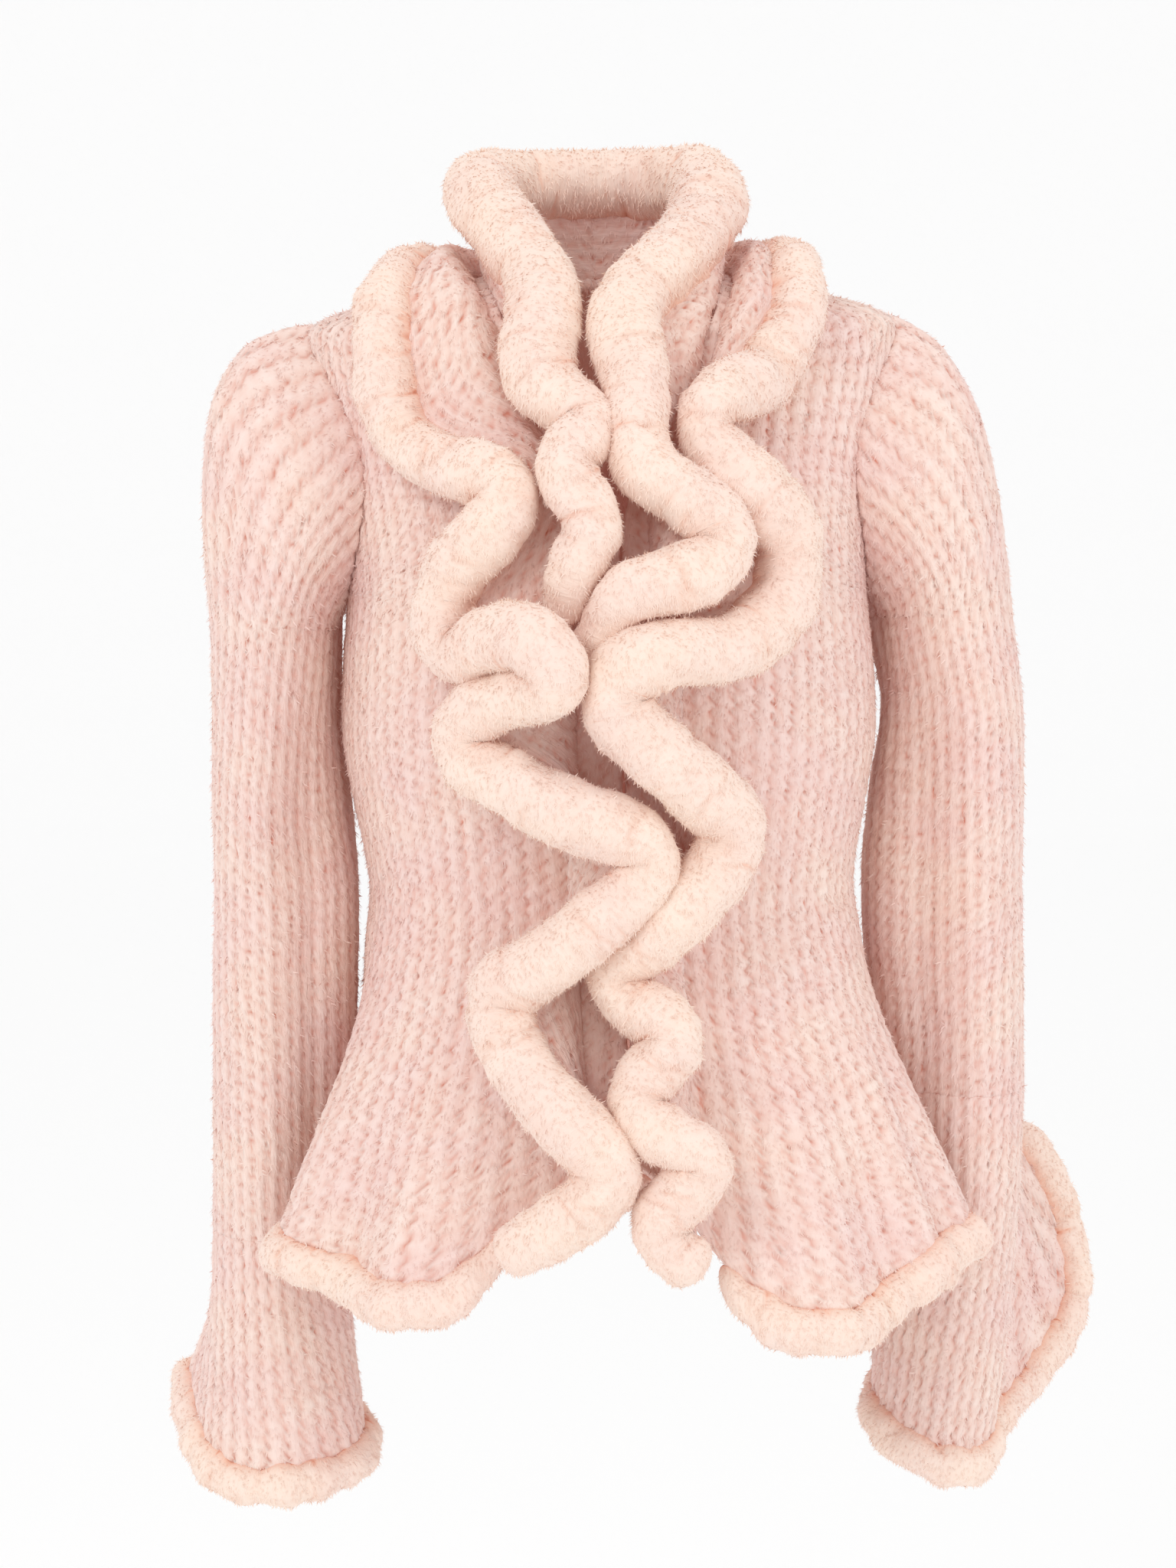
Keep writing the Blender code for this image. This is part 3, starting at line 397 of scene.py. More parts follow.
def cuffRings(side, key, wrist):
    c = cuffSizes
    rows = c["edges"][key]
    full = [(a - 360, x, y, z) for a, x, y, z in rows[-3:]] + list(rows)
    full += [(a + 360, x, y, z) for a, x, y, z in rows[:3]]
    sides = 2 * len(wrist)
    top = readCurve(wrist, np.arange(sides) / 2, closed=True)
    angles = 360 * np.arange(sides) / sides
    edge = np.stack([readTable(full, angles, n) for n in (1, 2, 3)], axis=-1) * (side, 1, 1)
    rings = []
    for f in c["steps"]:
        share = np.array((f ** c["bell"], f ** c["bell"], f))
        rings.append(top + (edge - top) * share)
    return np.array(rings)


ruffleSizes = {
    "wall": 7.0, "shift": 6.0, "lean": 0.6, "apex": 0.6, "spacing": 15.0,
    "fineSteps": 8, "seamStep": 3.0, "columns": 4, "straight": 0.8,
    "lift": 2.7, "bendRoom": 0.85, "insideBend": 0.3, "rounding": 2,
    "roundingTries": 3, "rise": 0.3, "baseGap": 1.5, "middleGap": 0.2,
    "rollSides": 8, "clothSide": 3, "belowPoint": 30.0, "leastTurn": 0.01,
    "overlap": 1.5,         # mm, of the halves at the centre back
    # x, y, z of the strip's middle seam
    "seam": [
        (0, 64, -24), (42, 54, -20), (74, 14, -15), (77, -28, -19), (73, -50, -29), (64, -67, -52),
        (53, -86, -90), (35, -101, -126), (27, -117, -160), (26, -136, -245), (26, -110, -400),
        (26, -132, -530), (30, -150, -596),
    ],
    # x, y, z, radius of the fur roll, how far along the seam the strip hangs from
    "outer_right": [
        (0, 112, -52, 15, 0), (-62, 92, -40, 13, 50), (-98, 46, -20, 11, 85), (-114, 2, -16, 11, 110),
        (-132, -42, -38, 13, 148), (-137, -78, -84, 16, 184), (-129, -96, -112, 15, 210),
        (-98, -124, -130, 16, 245), (-71, -147, -146, 17, 280), (-99, -142, -189, 17, 335),
        (-107, -134, -216, 16, 358), (-100, -146, -238, 16, 372), (-66, -186, -229, 16, 384),
        (-46, -194, -254, 16, 396), (-67, -176, -266, 14, 414), (-94, -157, -278, 15, 426),
        (-98, -153, -299, 15, 436), (-74, -163, -318, 16, 456), (-36, -174, -338, 18, 486),
        (9, -170, -367, 16, 520), (-46, -168, -424, 17, 578), (-80, -148, -455, 17, 612),
        (-56, -174, -510, 17, 662), (-21, -183, -556, 17, 706), (-50, -178, -590, 15, 738),
        (-75, -172, -604, 13, 752),
    ],
    "outer_left": [
        (0, 112, -52, 15, 0), (62, 92, -40, 13, 50), (97, 46, -20, 11, 85), (112, 4, -16, 11, 110),
        (113, -42, -46, 14, 156), (86, -105, -81, 16, 208), (59, -133, -92, 15, 229),
        (53, -139, -111, 14, 242), (71, -146, -136, 17, 262), (98, -140, -170, 18, 300),
        (100, -142, -198, 18, 330), (78, -158, -232, 18, 362), (44, -176, -241, 17, 384),
        (14, -187, -243, 17, 400), (-9, -183, -266, 17, 420), (26, -178, -312, 18, 465),
        (60, -161, -352, 18, 510), (26, -163, -406, 16, 560), (-9, -152, -444, 14, 594),
        (22, -170, -478, 16, 632), (1, -174, -512, 14, 668), (16, -184, -536, 14, 688),
        (38, -182, -550, 15, 702), (13, -180, -594, 14, 738), (28, -180, -614, 13, 752),
    ],
    "inner_right": [
        (0, 60, 44, 17, 0), (-48, 46, 44, 17, 45), (-75, 6, 40, 18, 98), (-62, -36, 13, 18, 143),
        (-46, -66, -14, 18, 178), (-42, -92, -41, 18, 210), (-48, -108, -64, 18, 232),
        (-38, -127, -88, 15, 252), (-20, -140, -104, 13, 268), (-34, -157, -129, 13, 285),
        (-21, -166, -158, 13, 312), (-31, -166, -190, 12, 345), (-36, -158, -212, 9, 365),
    ],
    "inner_left": [
        (0, 60, 44, 17, 0), (44, 46, 44, 17, 45), (68, 6, 39, 18, 98), (60, -32, 13, 18, 141),
        (38, -64, -8, 18, 174), (13, -90, -30, 17, 206), (7, -112, -58, 17, 232), (12, -134, -89, 15, 256),
        (10, -150, -118, 14, 278), (28, -160, -142, 15, 298), (54, -162, -163, 15, 318),
        (55, -170, -185, 15, 334), (28, -178, -197, 15, 348), (-4, -177, -210, 13, 364),
        (-17, -166, -236, 10, 385),
    ],
    # length along the seam, height that the strip stands before it falls
    "stand": {
        "outer": [(0, 26), (60, 28), (110, 30), (150, 24), (200, 14), (260, 6), (330, 2), (760, 2)],
        "inner": [(0, 6), (760, 6)],
    },
}
rollFlat = cos(pi / ruffleSizes["rollSides"])


def curveThrough(rows, steps):
    count = len(rows) - 1
    return readCurve(rows, np.arange(count * steps + 1) / steps)


def runningLengths(points):
    return np.concatenate(([0.0], np.cumsum(np.linalg.norm(np.diff(points[:, :3], axis=0), axis=1))))


def valueAt(values, lengths, where):
    return np.array([np.interp(where, lengths, column) for column in values.T])


def skinPlace(skin, point):
    spot, normal, _, _ = skin.find_nearest(Vector(point))
    if normal.dot(Vector(point) - Vector((0, 0, point[2] - ruffleSizes["belowPoint"]))) < 0:
        normal = -normal
    return np.array(spot), np.array(normal)


def laidOn(skin, point, thickness):
    spot, normal = skinPlace(skin, point)
    room = thickness + ruffleSizes["baseGap"]
    way = point - spot
    above = way @ normal
    if above < room and abs(above) > ruffleSizes["straight"] * np.linalg.norm(way):
        return spot + normal * room
    return point


def roundedCurve(rows, spacing):
    r = ruffleSizes
    rows = np.array(rows, float)
    control = rows.copy()
    for _ in range(r["roundingTries"]):
        fine = curveThrough(control, r["fineSteps"])
        lengths = runningLengths(fine)
        count = int(round(lengths[-1] / spacing))
        points = np.array([valueAt(fine, lengths, lengths[-1] * k / count) for k in range(count + 1)])
        for _ in range(r["rounding"]):
            points[1:-1] = (points[:-2] + 2 * points[1:-1] + points[2:]) / 4
        for k, row in enumerate(rows):
            place = lengths[k * r["fineSteps"]] / lengths[-1] * count
            i = min(int(place), count - 1)
            now = points[i] + (points[i + 1] - points[i]) * (place - i)
            control[k] += row - now
    return points


# the way to the inside of each bend of a path and how far a roll may reach there
def bendLimits(path):
    last = len(path) - 1
    tangents = [normalized(path[min(k + 1, last)] - path[max(k - 1, 0)]) for k in range(last + 1)]
    room = []
    for k in range(last):
        halfTurn = max(np.arccos(np.clip(tangents[k] @ tangents[k + 1], -1, 1)) / 2, ruffleSizes["leastTurn"])
        room.append(np.linalg.norm(path[k + 1] - path[k]) / (2 * sin(halfTurn)))
    limits = []
    for k in range(last + 1):
        bend = tangents[min(k + 1, last)] - tangents[max(k - 1, 0)]
        bend = normalized(bend - tangents[k] * (bend @ tangents[k]))
        limits.append((bend, ruffleSizes["bendRoom"] * min(room[max(k - 1, 0)], room[min(k, last - 1)])))
    return limits


def rollRing(centre, away, width, height, depth, outer, inner):
    r = ruffleSizes
    ring = []
    for i in range(r["rollSides"]):
        a = 2 * pi * (i + 0.5) / r["rollSides"]
        ring.append(centre + away * (height * cos(a)) + width * (depth * sin(a)))
    ring[r["clothSide"]] = outer + away * bodySizes["seamGap"]
    ring[r["clothSide"] + 1] = inner + away * bodySizes["seamGap"]
    return ring


# one half of the ruffle strip and the rings of the fur roll along its free edge
def ruffleForm(name, side, skin):
    r = ruffleSizes
    part = name.split("_")[0]
    shift = r["shift"] if part == "outer" else -r["shift"]
    path = curveThrough([(side * x, y, z) for x, y, z in r["seam"]], r["fineSteps"])
    lengths = runningLengths(path)
    samples = roundedCurve(r[name], r["spacing"])
    edge = [sample[:3] for sample in samples]
    if part == "outer":
        edge = [laidOn(skin, p, s[3] + r["lift"]) for p, s in zip(edge, samples)]
    last = len(edge) - 1
    bends = bendLimits(edge)
    half = r["wall"] / 2
    grid, loops, ends = [], [], []
    for k, sample in enumerate(samples):
        radius, alongSeam = sample[3], sample[4]
        step = r["seamStep"]
        near, later, earlier = (valueAt(path, lengths, alongSeam + shifted) for shifted in (0, step, -step))
        ahead = later - earlier
        tangent = normalized(edge[min(k + 1, last)] - edge[max(k - 1, 0)])
        if k == 0:
            ahead = np.array((side, 0.0, 0.0))
            tangent = ahead
        spot, normal = skinPlace(skin, near)
        sideways = normalized(np.cross(normal, ahead)) * side
        if part == "outer":
            spot, normal = skinPlace(skin, near + sideways * shift)
        else:
            spot = spot + sideways * shift
        if k == 0:
            normal = normalized(np.array((0, normal[1], normal[2])))
            spot[0] = side * r["middleGap"]
            edge[k] = np.array((side * r["middleGap"], edge[k][1], edge[k][2]))
        base = spot + normal * r["baseGap"]
        stand = float(readTable(r["stand"][part], alongSeam, 1))
        away = edge[k] - base - normal * (stand * r["apex"])
        away = normalized(away - tangent * (away @ tangent))
        width = np.cross(tangent, away)
        bend, limit = bends[k]
        sink = radius * rollFlat
        towards = -away @ bend
        if towards > r["insideBend"]:
            sink = min(sink, limit / towards)
        end = edge[k] - away * (sink + bodySizes["seamGap"])
        reach = np.linalg.norm(end - base)
        lean = normalized(end - base)
        one = base + normalized(normal + lean * r["lean"]) * (stand + reach * r["rise"])
        two = end - away * (reach * r["rise"])
        line = [base]
        for j in range(1, r["columns"]):
            t = j / r["columns"]
            point = (base * (1 - t) ** 3 + one * (3 * t * (1 - t) ** 2)
                     + two * (3 * t * t * (1 - t)) + end * t ** 3)
            line.append(laidOn(skin, point, half + r["lift"]) if part == "outer" else point)
        line.append(end)
        grid.append(line)
        ends.append((normalized(np.cross(ahead, normal)), width))
        ring = rollRing(edge[k], away, width, radius, radius, end + width * half, end - width * half)
        for i in range(r["rollSides"]):
            reached = (ring[i] - edge[k]) @ bend
            if reached > limit and i not in (r["clothSide"], r["clothSide"] + 1):
                ring[i] = ring[i] - bend * (reached - limit)
        loops.append(ring)
    grid = np.array(grid)
    normals = gridNormals(grid)
    normals[0] = normalized(normals[0] * np.array((0, 1, 1)))
    normals[:, 0] = [atBase for atBase, _ in ends]
    normals[:, -1] = [atEnd for _, atEnd in ends]
    return grid + normals * half, grid - normals * half, np.array(loops)


# rings of a fur band under a cloth edge, from the grids of the cloth's outside and inside
def edgeLoops(outer, inner, band, closed=False):
    middles = (outer[-1] + inner[-1]) / 2
    above = (outer[-2] + inner[-2]) / 2
    count = len(middles)
    loops = []
    for j in range(count):
        away = normalized(middles[j] - above[j])
        across = outer[-1][j] - inner[-1][j]
        if not closed and j in (0, count - 1):
            width = normalized(across)
            away = normalized(away - width * (away @ width))
        else:
            along = normalized(middles[(j + 1) % count] - middles[j - 1])
            away = normalized(away - along * (away @ along))
            width = np.cross(along, away)
            if width @ across < 0:
                width = -width
        centre = middles[j] + away * (band["height"] * rollFlat)
        loops.append(rollRing(centre, away, width, band["height"], band["depth"], outer[-1][j], inner[-1][j]))
    return np.array(loops)


def skinOf(grids):
    points, faces = [], []
    for grid in grids:
        start = len(points)
        rows, columns = grid.shape[:2]
        points.extend(Vector(p) for p in grid.reshape(-1, 3))
        for k in range(rows - 1):
            for j in range(columns - 1):
                a = start + k * columns + j
                faces.append((a, a + columns, a + columns + 1))
                faces.append((a, a + columns + 1, a + 1))
    return BVHTree.FromPolygons(points, faces)


def hexColour(text):
    parts = [int(text[i:i + 2], 16) / 255 for i in (0, 2, 4)]
    return [p / 12.92 if p <= 0.04045 else ((p + 0.055) / 1.055) ** 2.4 for p in parts] + [1.0]


# a node with its settings, and at each socket a value or what another node puts out
def addNode(tree, kind, sockets=None, **settings):
    node = tree.nodes.new(kind)
    for name, value in settings.items():
        setattr(node, name, value)
    for socket, value in (sockets or {}).items():
        if isinstance(value, bpy.types.NodeSocket):
            tree.links.new(value, node.inputs[socket])
        else:
            node.inputs[socket].default_value = value
    return node


# Dyed rabbit fur: a soft matt pile with pale tips. The stops run from the bottom of a crease to the tips;
# their dark orange-pink low end is painted shade for the creases, where light scatters deep in the pile. The
# dye took warmer in some places.
furFinishes = {
    "knittedRabbitFur": {
        "stops": [(0.0, "C46E5A"), (0.2, "DA9A89"), (0.42, "E6C3B9"), (0.68, "EDD9D2"), (1.0, "F3E9E5")],
        "warm": "FFF2E8", "cool": "FAE5E1",
    },
    "rolledRabbitFur": {
        "stops": [(0.0, "C87C62"), (0.2, "E4AB93"), (0.42, "F0CFBF"), (0.66, "F2DFD4"), (1.0, "F6EBE3")],
        "warm": "FFF4EA", "cool": "FBECE6",
    },
}
furDetail = {
    "hair": (2.0, 8.0, 2.0),        # a lock of hairs: mm wide, mm long, detail
    "parting": (5.0, 24.0, 3.0),    # where the pile parts down to the skin
    "speck": 6.0, "mottle": 60.0,   # mm, single tips, and places of one dye
    # how much each of them darkens and lightens the pile: the partings and their creases by painted shade,
    # the hairs, specks and locks at random
    "hairTone": 0.30, "partingShade": 0.24, "creaseShade": 0.26, "speckTone": 0.16, "lockTone": 0.10,
    "creaseShadeRange": (0.27, 0.36), "dyeRange": (0.35, 0.65), "dyeShare": 0.7,
    "bump": 0.6, "softBump": 0.0022, "fineBump": 0.0012,        # strength, heights in m
    # matt with a little sheen, and a faint warm emission: painted light for the light that the hairs pass on
    # into the shade
    "shader": {"Roughness": 0.95, "Specular IOR Level": 0.1, "Sheen Weight": 0.2, "Sheen Roughness": 0.6,
               "Emission Strength": 0.045},
    "paintedGlow": "E0806A",
}


def noiseNode(tree, place, size, detail=2.0):
    sockets = {"Scale": 1000 / size, "Detail": detail, "Vector": place}
    return addNode(tree, "ShaderNodeTexNoise", sockets).outputs["Fac"]


def napNoise(tree, nap, width, length, detail):     # drawn out along the nap
    turned = addNode(tree, "ShaderNodeMapping", {"Scale": (1, width / length, 1), "Vector": nap})
    return noiseNode(tree, turned.outputs["Vector"], width, detail)


def rangeNode(tree, value, low, high, least=0.0, most=1.0):
    sockets = {"Value": value, "From Min": low, "From Max": high, "To Min": least, "To Max": most}
    return addNode(tree, "ShaderNodeMapRange", sockets).outputs["Result"]


def sumNode(tree, first, second):
    return addNode(tree, "ShaderNodeMath", {0: first, 1: second}, operation="ADD").outputs[0]


def mixNode(tree, blend, factor, first, second):
    sockets = {0: factor, 6: first, 7: second}
    return addNode(tree, "ShaderNodeMix", sockets, data_type="RGBA", blend_type=blend).outputs[2]


# of the cloth with its partings, or of the loose locks that stand on it
def furMaterial(name, loose=False):
    finish, d = furFinishes[name], furDetail
    material = bpy.data.materials.new(name + ("Locks" if loose else ""))
    material.use_nodes = True
    tree = material.node_tree
    tree.nodes.clear()
    place = addNode(tree, "ShaderNodeTexCoord").outputs["Object"]
    nap = addNode(tree, "ShaderNodeUVMap", uv_map="nap").outputs["UV"]
    hairs, partings = (napNoise(tree, nap, *d[key]) for key in ("hair", "parting"))
    specks, mottle = (noiseNode(tree, place, d[key]) for key in ("speck", "mottle"))
    # the fluff attribute carries painted shade: low values take the ramp's dark crease stops
    depth = addNode(tree, "ShaderNodeAttribute", attribute_name="fluffAndShade").outputs["Fac"]
    shifts = [(hairs, d["hairTone"]), (partings, d["partingShade"]), (specks, d["speckTone"])]
    for noise, tone in [(specks, d["lockTone"])] if loose else shifts:
        shift = addNode(tree, "ShaderNodeMath", {0: noise, 1: tone, 2: -tone / 2}, operation="MULTIPLY_ADD")
        depth = sumNode(tree, depth, shift.outputs[0])
    if not loose:
        # painted shade in the creases of the partings
        depth = sumNode(tree, depth, rangeNode(tree, partings, *d["creaseShadeRange"], -d["creaseShade"], 0.0))
    ramp = addNode(tree, "ShaderNodeValToRGB", {"Fac": depth})
    elements = ramp.color_ramp.elements
    elements.remove(elements[-1])
    for k, (position, colour) in enumerate(finish["stops"]):
        element = elements[0] if k == 0 else elements.new(position)
        element.position = position
        element.color = hexColour(colour)
    warm, cool = hexColour(finish["warm"]), hexColour(finish["cool"])
    dye = mixNode(tree, "MIX", rangeNode(tree, mottle, *d["dyeRange"]), warm, cool)
    colour = mixNode(tree, "MULTIPLY", d["dyeShare"], ramp.outputs["Color"], dye)
    bump = {"Strength": d["bump"], "Distance": d["softBump"], "Height": partings}
    soft = addNode(tree, "ShaderNodeBump", bump).outputs["Normal"]
    bump = {"Strength": d["bump"], "Distance": d["fineBump"], "Height": hairs, "Normal": soft}
    fine = addNode(tree, "ShaderNodeBump", bump).outputs["Normal"]
    # the emission is painted light that warms the shade
    sockets = {**d["shader"], "Emission Color": hexColour(d["paintedGlow"]), "Base Color": colour, "Normal": fine}
    shader = addNode(tree, "ShaderNodeBsdfPrincipled", sockets)
    addNode(tree, "ShaderNodeOutputMaterial", {"Surface": shader.outputs["BSDF"]})
    return material


print("materials")
knittedFur = furMaterial("knittedRabbitFur")
rolledFur = furMaterial("rolledRabbitFur")
looseLocks = {"knit": furMaterial("knittedRabbitFur", True), "roll": furMaterial("rolledRabbitFur", True)}


# a grid closed on its first row or column, or carried on by one more step
def closedGrid(grid, axis, carriedOn=False):
    added = np.take(grid, [0], axis)
    if carriedOn:
        added = np.take(grid, [-1], axis) + (np.take(grid, [1], axis) - added)
    return np.concatenate((grid, added), axis)


# points on one face of a cloth, how many mm its nap has run across and along at each, and its fluff and
# painted shade (low is a dark crease)
def addFace(bm, points, napU, napV, fluffAndShade, closedAcross=False, closedAlong=False):
    for axis, closed in ((1, closedAcross), (0, closedAlong)):
        if closed:
            points, fluffAndShade = closedGrid(points, axis), closedGrid(fluffAndShade, axis)
            napU, napV = closedGrid(napU, axis, axis == 1), closedGrid(napV, axis, axis == 0)
    count, columns = points.shape[:2]
    layers = [bm.verts.layers.float[name] for name in ("napU", "napV", "fluffAndShade")]
    end = bm.verts.layers.int["end"]
    made = bmesh.ops.create_grid(bm, x_segments=columns - 1, y_segments=count - 1, size=0.5)["verts"]
    values = [a.reshape(-1).tolist() for a in (napU, napV, fluffAndShade)]
    for k, (vert, point) in enumerate(zip(made, (points.reshape(-1, 3) * mm).tolist())):
        vert.co = point
        for layer, value in zip(layers, values):
            vert[layer] = value[k]
    for vert in made[:columns]:
        vert[end] = 1
    for vert in made[-columns:]:
        vert[end] = 2
    if closedAlong:
        bmesh.ops.remove_doubles(bm, verts=made[:columns] + made[-columns:], dist=0.000001)
        made = [v for v in made if v.is_valid]
    if closedAcross:
        sides = [v for v in made if v.is_boundary or not v.is_manifold]
        bmesh.ops.remove_doubles(bm, verts=sides, dist=0.000001)


def newFurMesh():
    bm = bmesh.new()
    for name in ("napU", "napV", "fluffAndShade"):
        bm.verts.layers.float.new(name)
    bm.verts.layers.int.new("end")
    return bm


def meshFrom(name, bm):
    bmesh.ops.recalc_face_normals(bm, faces=bm.faces)
    mesh = bpy.data.meshes.new(name)
    bm.to_mesh(mesh)
    bm.free()
    return mesh


def addObject(name, data):
    thing = bpy.data.objects.new(name, data)
    bpy.context.scene.collection.objects.link(thing)
    return thing


def addMesh(name, mesh, material):
    mesh.shade_smooth()
    mesh.materials.append(material)
    return addObject(name, mesh)


# a field of all items of a mesh as an array, with so many numbers for each item
def readField(items, field, width=1, kind=np.float32):
    values = np.empty(len(items) * width, kind)
    items.foreach_get(field, values)
    return values.reshape(-1, width) if width > 1 else values


def finishPiece(name, bm, material):
    mesh = meshFrom(name, bm)
    nap = np.stack([readField(mesh.attributes[key].data, "value") * mm for key in ("napU", "napV")], axis=1)
    uv = nap[readField(mesh.loops, "vertex_index", kind=np.int32)]
    fields = ("loop_start", "loop_total")
    starts, totals = (readField(mesh.polygons, field, kind=np.int32) for field in fields)
    for n in (0, 1):        # where a piece closes on itself, its nap runs on instead of starting again
        top = np.repeat(np.maximum.reduceat(uv[:, n], starts), totals)
        span = uv[:, n].max() - uv[:, n].min()
        uv[:, n] += np.where(top - uv[:, n] > span / 2, span, 0)
    mesh.uv_layers.new(name="nap").data.foreach_set("uv", uv.reshape(-1))
    for key in ("napU", "napV", "end"):
        mesh.attributes.remove(mesh.attributes[key])
    return addMesh(name, mesh, material)


def borderEdges(bm, end=None):
    layer = bm.verts.layers.int["end"]
    return [e for e in bm.edges if e.is_boundary and (end is None or all(v[layer] == end for v in e.verts))]


# closes two faces of a cloth to one wall along their edges
def closeWall(bm, closedAcross=False):
    if closedAcross:
        for end in (1, 2):
            bmesh.ops.bridge_loops(bm, edges=borderEdges(bm, end))
    else:
        bmesh.ops.bridge_loops(bm, edges=borderEdges(bm))


knitSizes = {
    "stitch": 10.5,         # mm from stitch to stitch along a column
    "round": 80,            # columns round the body
    "sleeveRound": 30,      # and round a sleeve
    "ruffleColumn": 11.0,   # mm, their width in the ruffle
    # mm from a crease to the tips, and how fluffy the crease is, which paints shade into it (lower is darker)
    "relief": (3.1, 0.22), "ruffleRelief": (2.9, 0.10),
    "proud": 0.9,           # tips over the solid's face
    "across": 2.2, "along": 2.5, "ruffleSpacing": 2.7,      # mesh spacing
    "insideShare": 4,       # the inside has one row and column for so many outside
    # the inside face is painted darker, as shade, a little unevenly
    "insideShade": 0.46, "insideTone": (0.08, 14.0),
    "edgeRound": 1.6,       # the pile turns over a cut edge
    "seamOverlap": 2.2,     # a piece starts this far under the one that it is sewn to
    "lean": 0.40,           # how far a stitch's lobe leans over its column
    "sway": 0.15,           # of a column's edge, as a share of the column
    # unevenness, how much and over how many mm: of columns, stitches along them, their sway and their tips
    "drift": (0.12, 30.0), "slip": (2.4, 24.0), "swayShift": (3.0, 45.0), "tips": (0.06, 5.0),
    "stagger": 0.5,         # of a stitch between neighbouring columns
    "thinner": 0.2,         # how much lower than others a stitch may be
    "lobeShare": 0.24,      # of the height, the rest is the column's own
    "lobePower": 0.45, "columnPower": 2.6,      # how blunt a lobe and a column are
}


# height of the knit, 0 in a crease to 1 on a lobe, for columns numbered across and mm along them
def knitHeight(columns, along, points, seed, around):
    k = knitSizes
    columns = columns + uneven(points, k["drift"], seed)
    along = along + uneven(points, k["slip"], seed + 1)
    phase = 2 * pi * along / k["stitch"] + uneven(points, k["swayShift"], seed + 5)
    columns = columns + k["sway"] * np.sin(phase)
    index = np.floor(columns) % around
    hand = np.where(index % 2 > 0, 1.0, -1.0)
    beat = along / k["stitch"] + chance(index, seed + 2) * k["stagger"] + k["stagger"] * (index % 2)
    across = columns - np.floor(columns) - 0.5
    beat = beat + k["lean"] * hand * across * 2
    plump = 1 - k["thinner"] + k["thinner"] * chance(index, np.floor(beat), seed + 3)
    lobe = np.abs(np.sin(pi * beat)) ** k["lobePower"]
    column = np.sqrt(np.clip(1 - np.abs(across * 2) ** k["columnPower"], 0, 1))
    height = column * (1 - k["lobeShare"] + k["lobeShare"] * lobe) * plump
    return np.clip(height + uneven(points, k["tips"], seed + 4), 0, 1)


def acrossLengths(grid):
    steps = np.linalg.norm(np.diff(grid, axis=1), axis=-1)
    return np.concatenate((np.zeros((len(grid), 1)), np.cumsum(steps, axis=1)), axis=1)


def downLengths(grid):
    return acrossLengths(grid.transpose(1, 0, 2)).T


# places with as many spans as this share goes into
def multiple(places, share):
    spans = max(int(round((len(places) - 1) / share)), 1) * share
    return np.interp(np.linspace(0, len(places) - 1, spans + 1), np.arange(len(places)), places)


# how far the pile turns in towards a face's border
def turnedEdge(points, closedAcross):
    down = downLengths(points)
    near = np.minimum(down, down[-1:] - down)
    if not closedAcross:
        across = acrossLengths(points)
        near = np.minimum(near, np.minimum(across, across[:, -1:] - across))
    t = 1 - np.clip(near / knitSizes["edgeRound"], 0, 1)
    return knitSizes["edgeRound"] * (1 - np.sqrt(1 - t * t))


# one knitted face: lobes and creases on the cloth's own form, with its columns numbered anew after so many
def knitFace(bm, points, normals, columns, along, seed, key, closedAcross=False, around=1000):
    k = knitSizes
    relief, least = k[key]
    height = knitHeight(columns, along, points, seed, around)
    lift = k["proud"] - relief * (1 - height) - turnedEdge(points, closedAcross)
    # the colour follows the height: painted shade darkens the creases
    fluffAndShade = least + (1 - least) * height
    addFace(bm, points + normals * lift[..., None], columns * k["ruffleColumn"], along, fluffAndShade, closedAcross)


def knitWall(name, outer, inner, columns, along, seed, around, closedAcross=False):
    k = knitSizes
    share = k["insideShare"]
    normals = gridNormals(outer, closedAcross)
    side = -1.0 if np.sum((outer - np.mean(outer, axis=(0, 1))) * normals) < 0 else 1.0
    bm = newFurMesh()
    knitFace(bm, outer, normals * side, columns, along, seed, "relief", closedAcross, around)
    # painted shade on the inside face
    fluffAndShade = k["insideShade"] + uneven(inner, k["insideTone"], seed + 7)
    napU, napV = (values[::share, ::share] for values in (columns * k["ruffleColumn"], along))
    addFace(bm, inner, napU, napV, fluffAndShade, closedAcross)
    closeWall(bm, closedAcross)
    return finishPiece(name, bm, knittedFur)


def bodyPanel(name, angles, seed):
    k = knitSizes
    share = k["insideShare"]
    coarse = bodyFace(angles)
    rowsAt = multiple(evenPlaces(stepLengths(coarse), k["along"]), share)
    columnsAt = multiple(evenPlaces(stepLengths(coarse.transpose(1, 0, 2)), k["across"]), share)
    fine = readGrid(angles, rowsAt, columnsAt)
    outer = bodyFace(fine)
    inner = bodyInside(fine[::share, ::share])
    columns = fine[..., 0] * k["round"] / 360
    return knitWall(name, outer, inner, columns, downLengths(outer), seed, k["round"])


def tube(name, rings, innerRings, around, seed, start=0):
    k = knitSizes
    sides, share = rings.shape[1], k["insideShare"]
    rowsAt = multiple(evenPlaces(stepLengths(rings), k["along"]), share)
    girth = np.linalg.norm(rings - np.roll(rings, 1, axis=1), axis=-1).sum(axis=1).mean()
    count = int(round(girth / k["across"] / share)) * share
    columnsAt = np.arange(count) * sides / count + sides / 2
    outer = readGrid(rings, rowsAt, columnsAt, closedAcross=True)
    inner = readGrid(innerRings, rowsAt[::share], columnsAt[::share], closedAcross=True)
    columns = np.broadcast_to(columnsAt * around / sides, outer.shape[:2])
    return knitWall(name, outer, inner, columns, downLengths(outer) + start, seed, around, closedAcross=True)


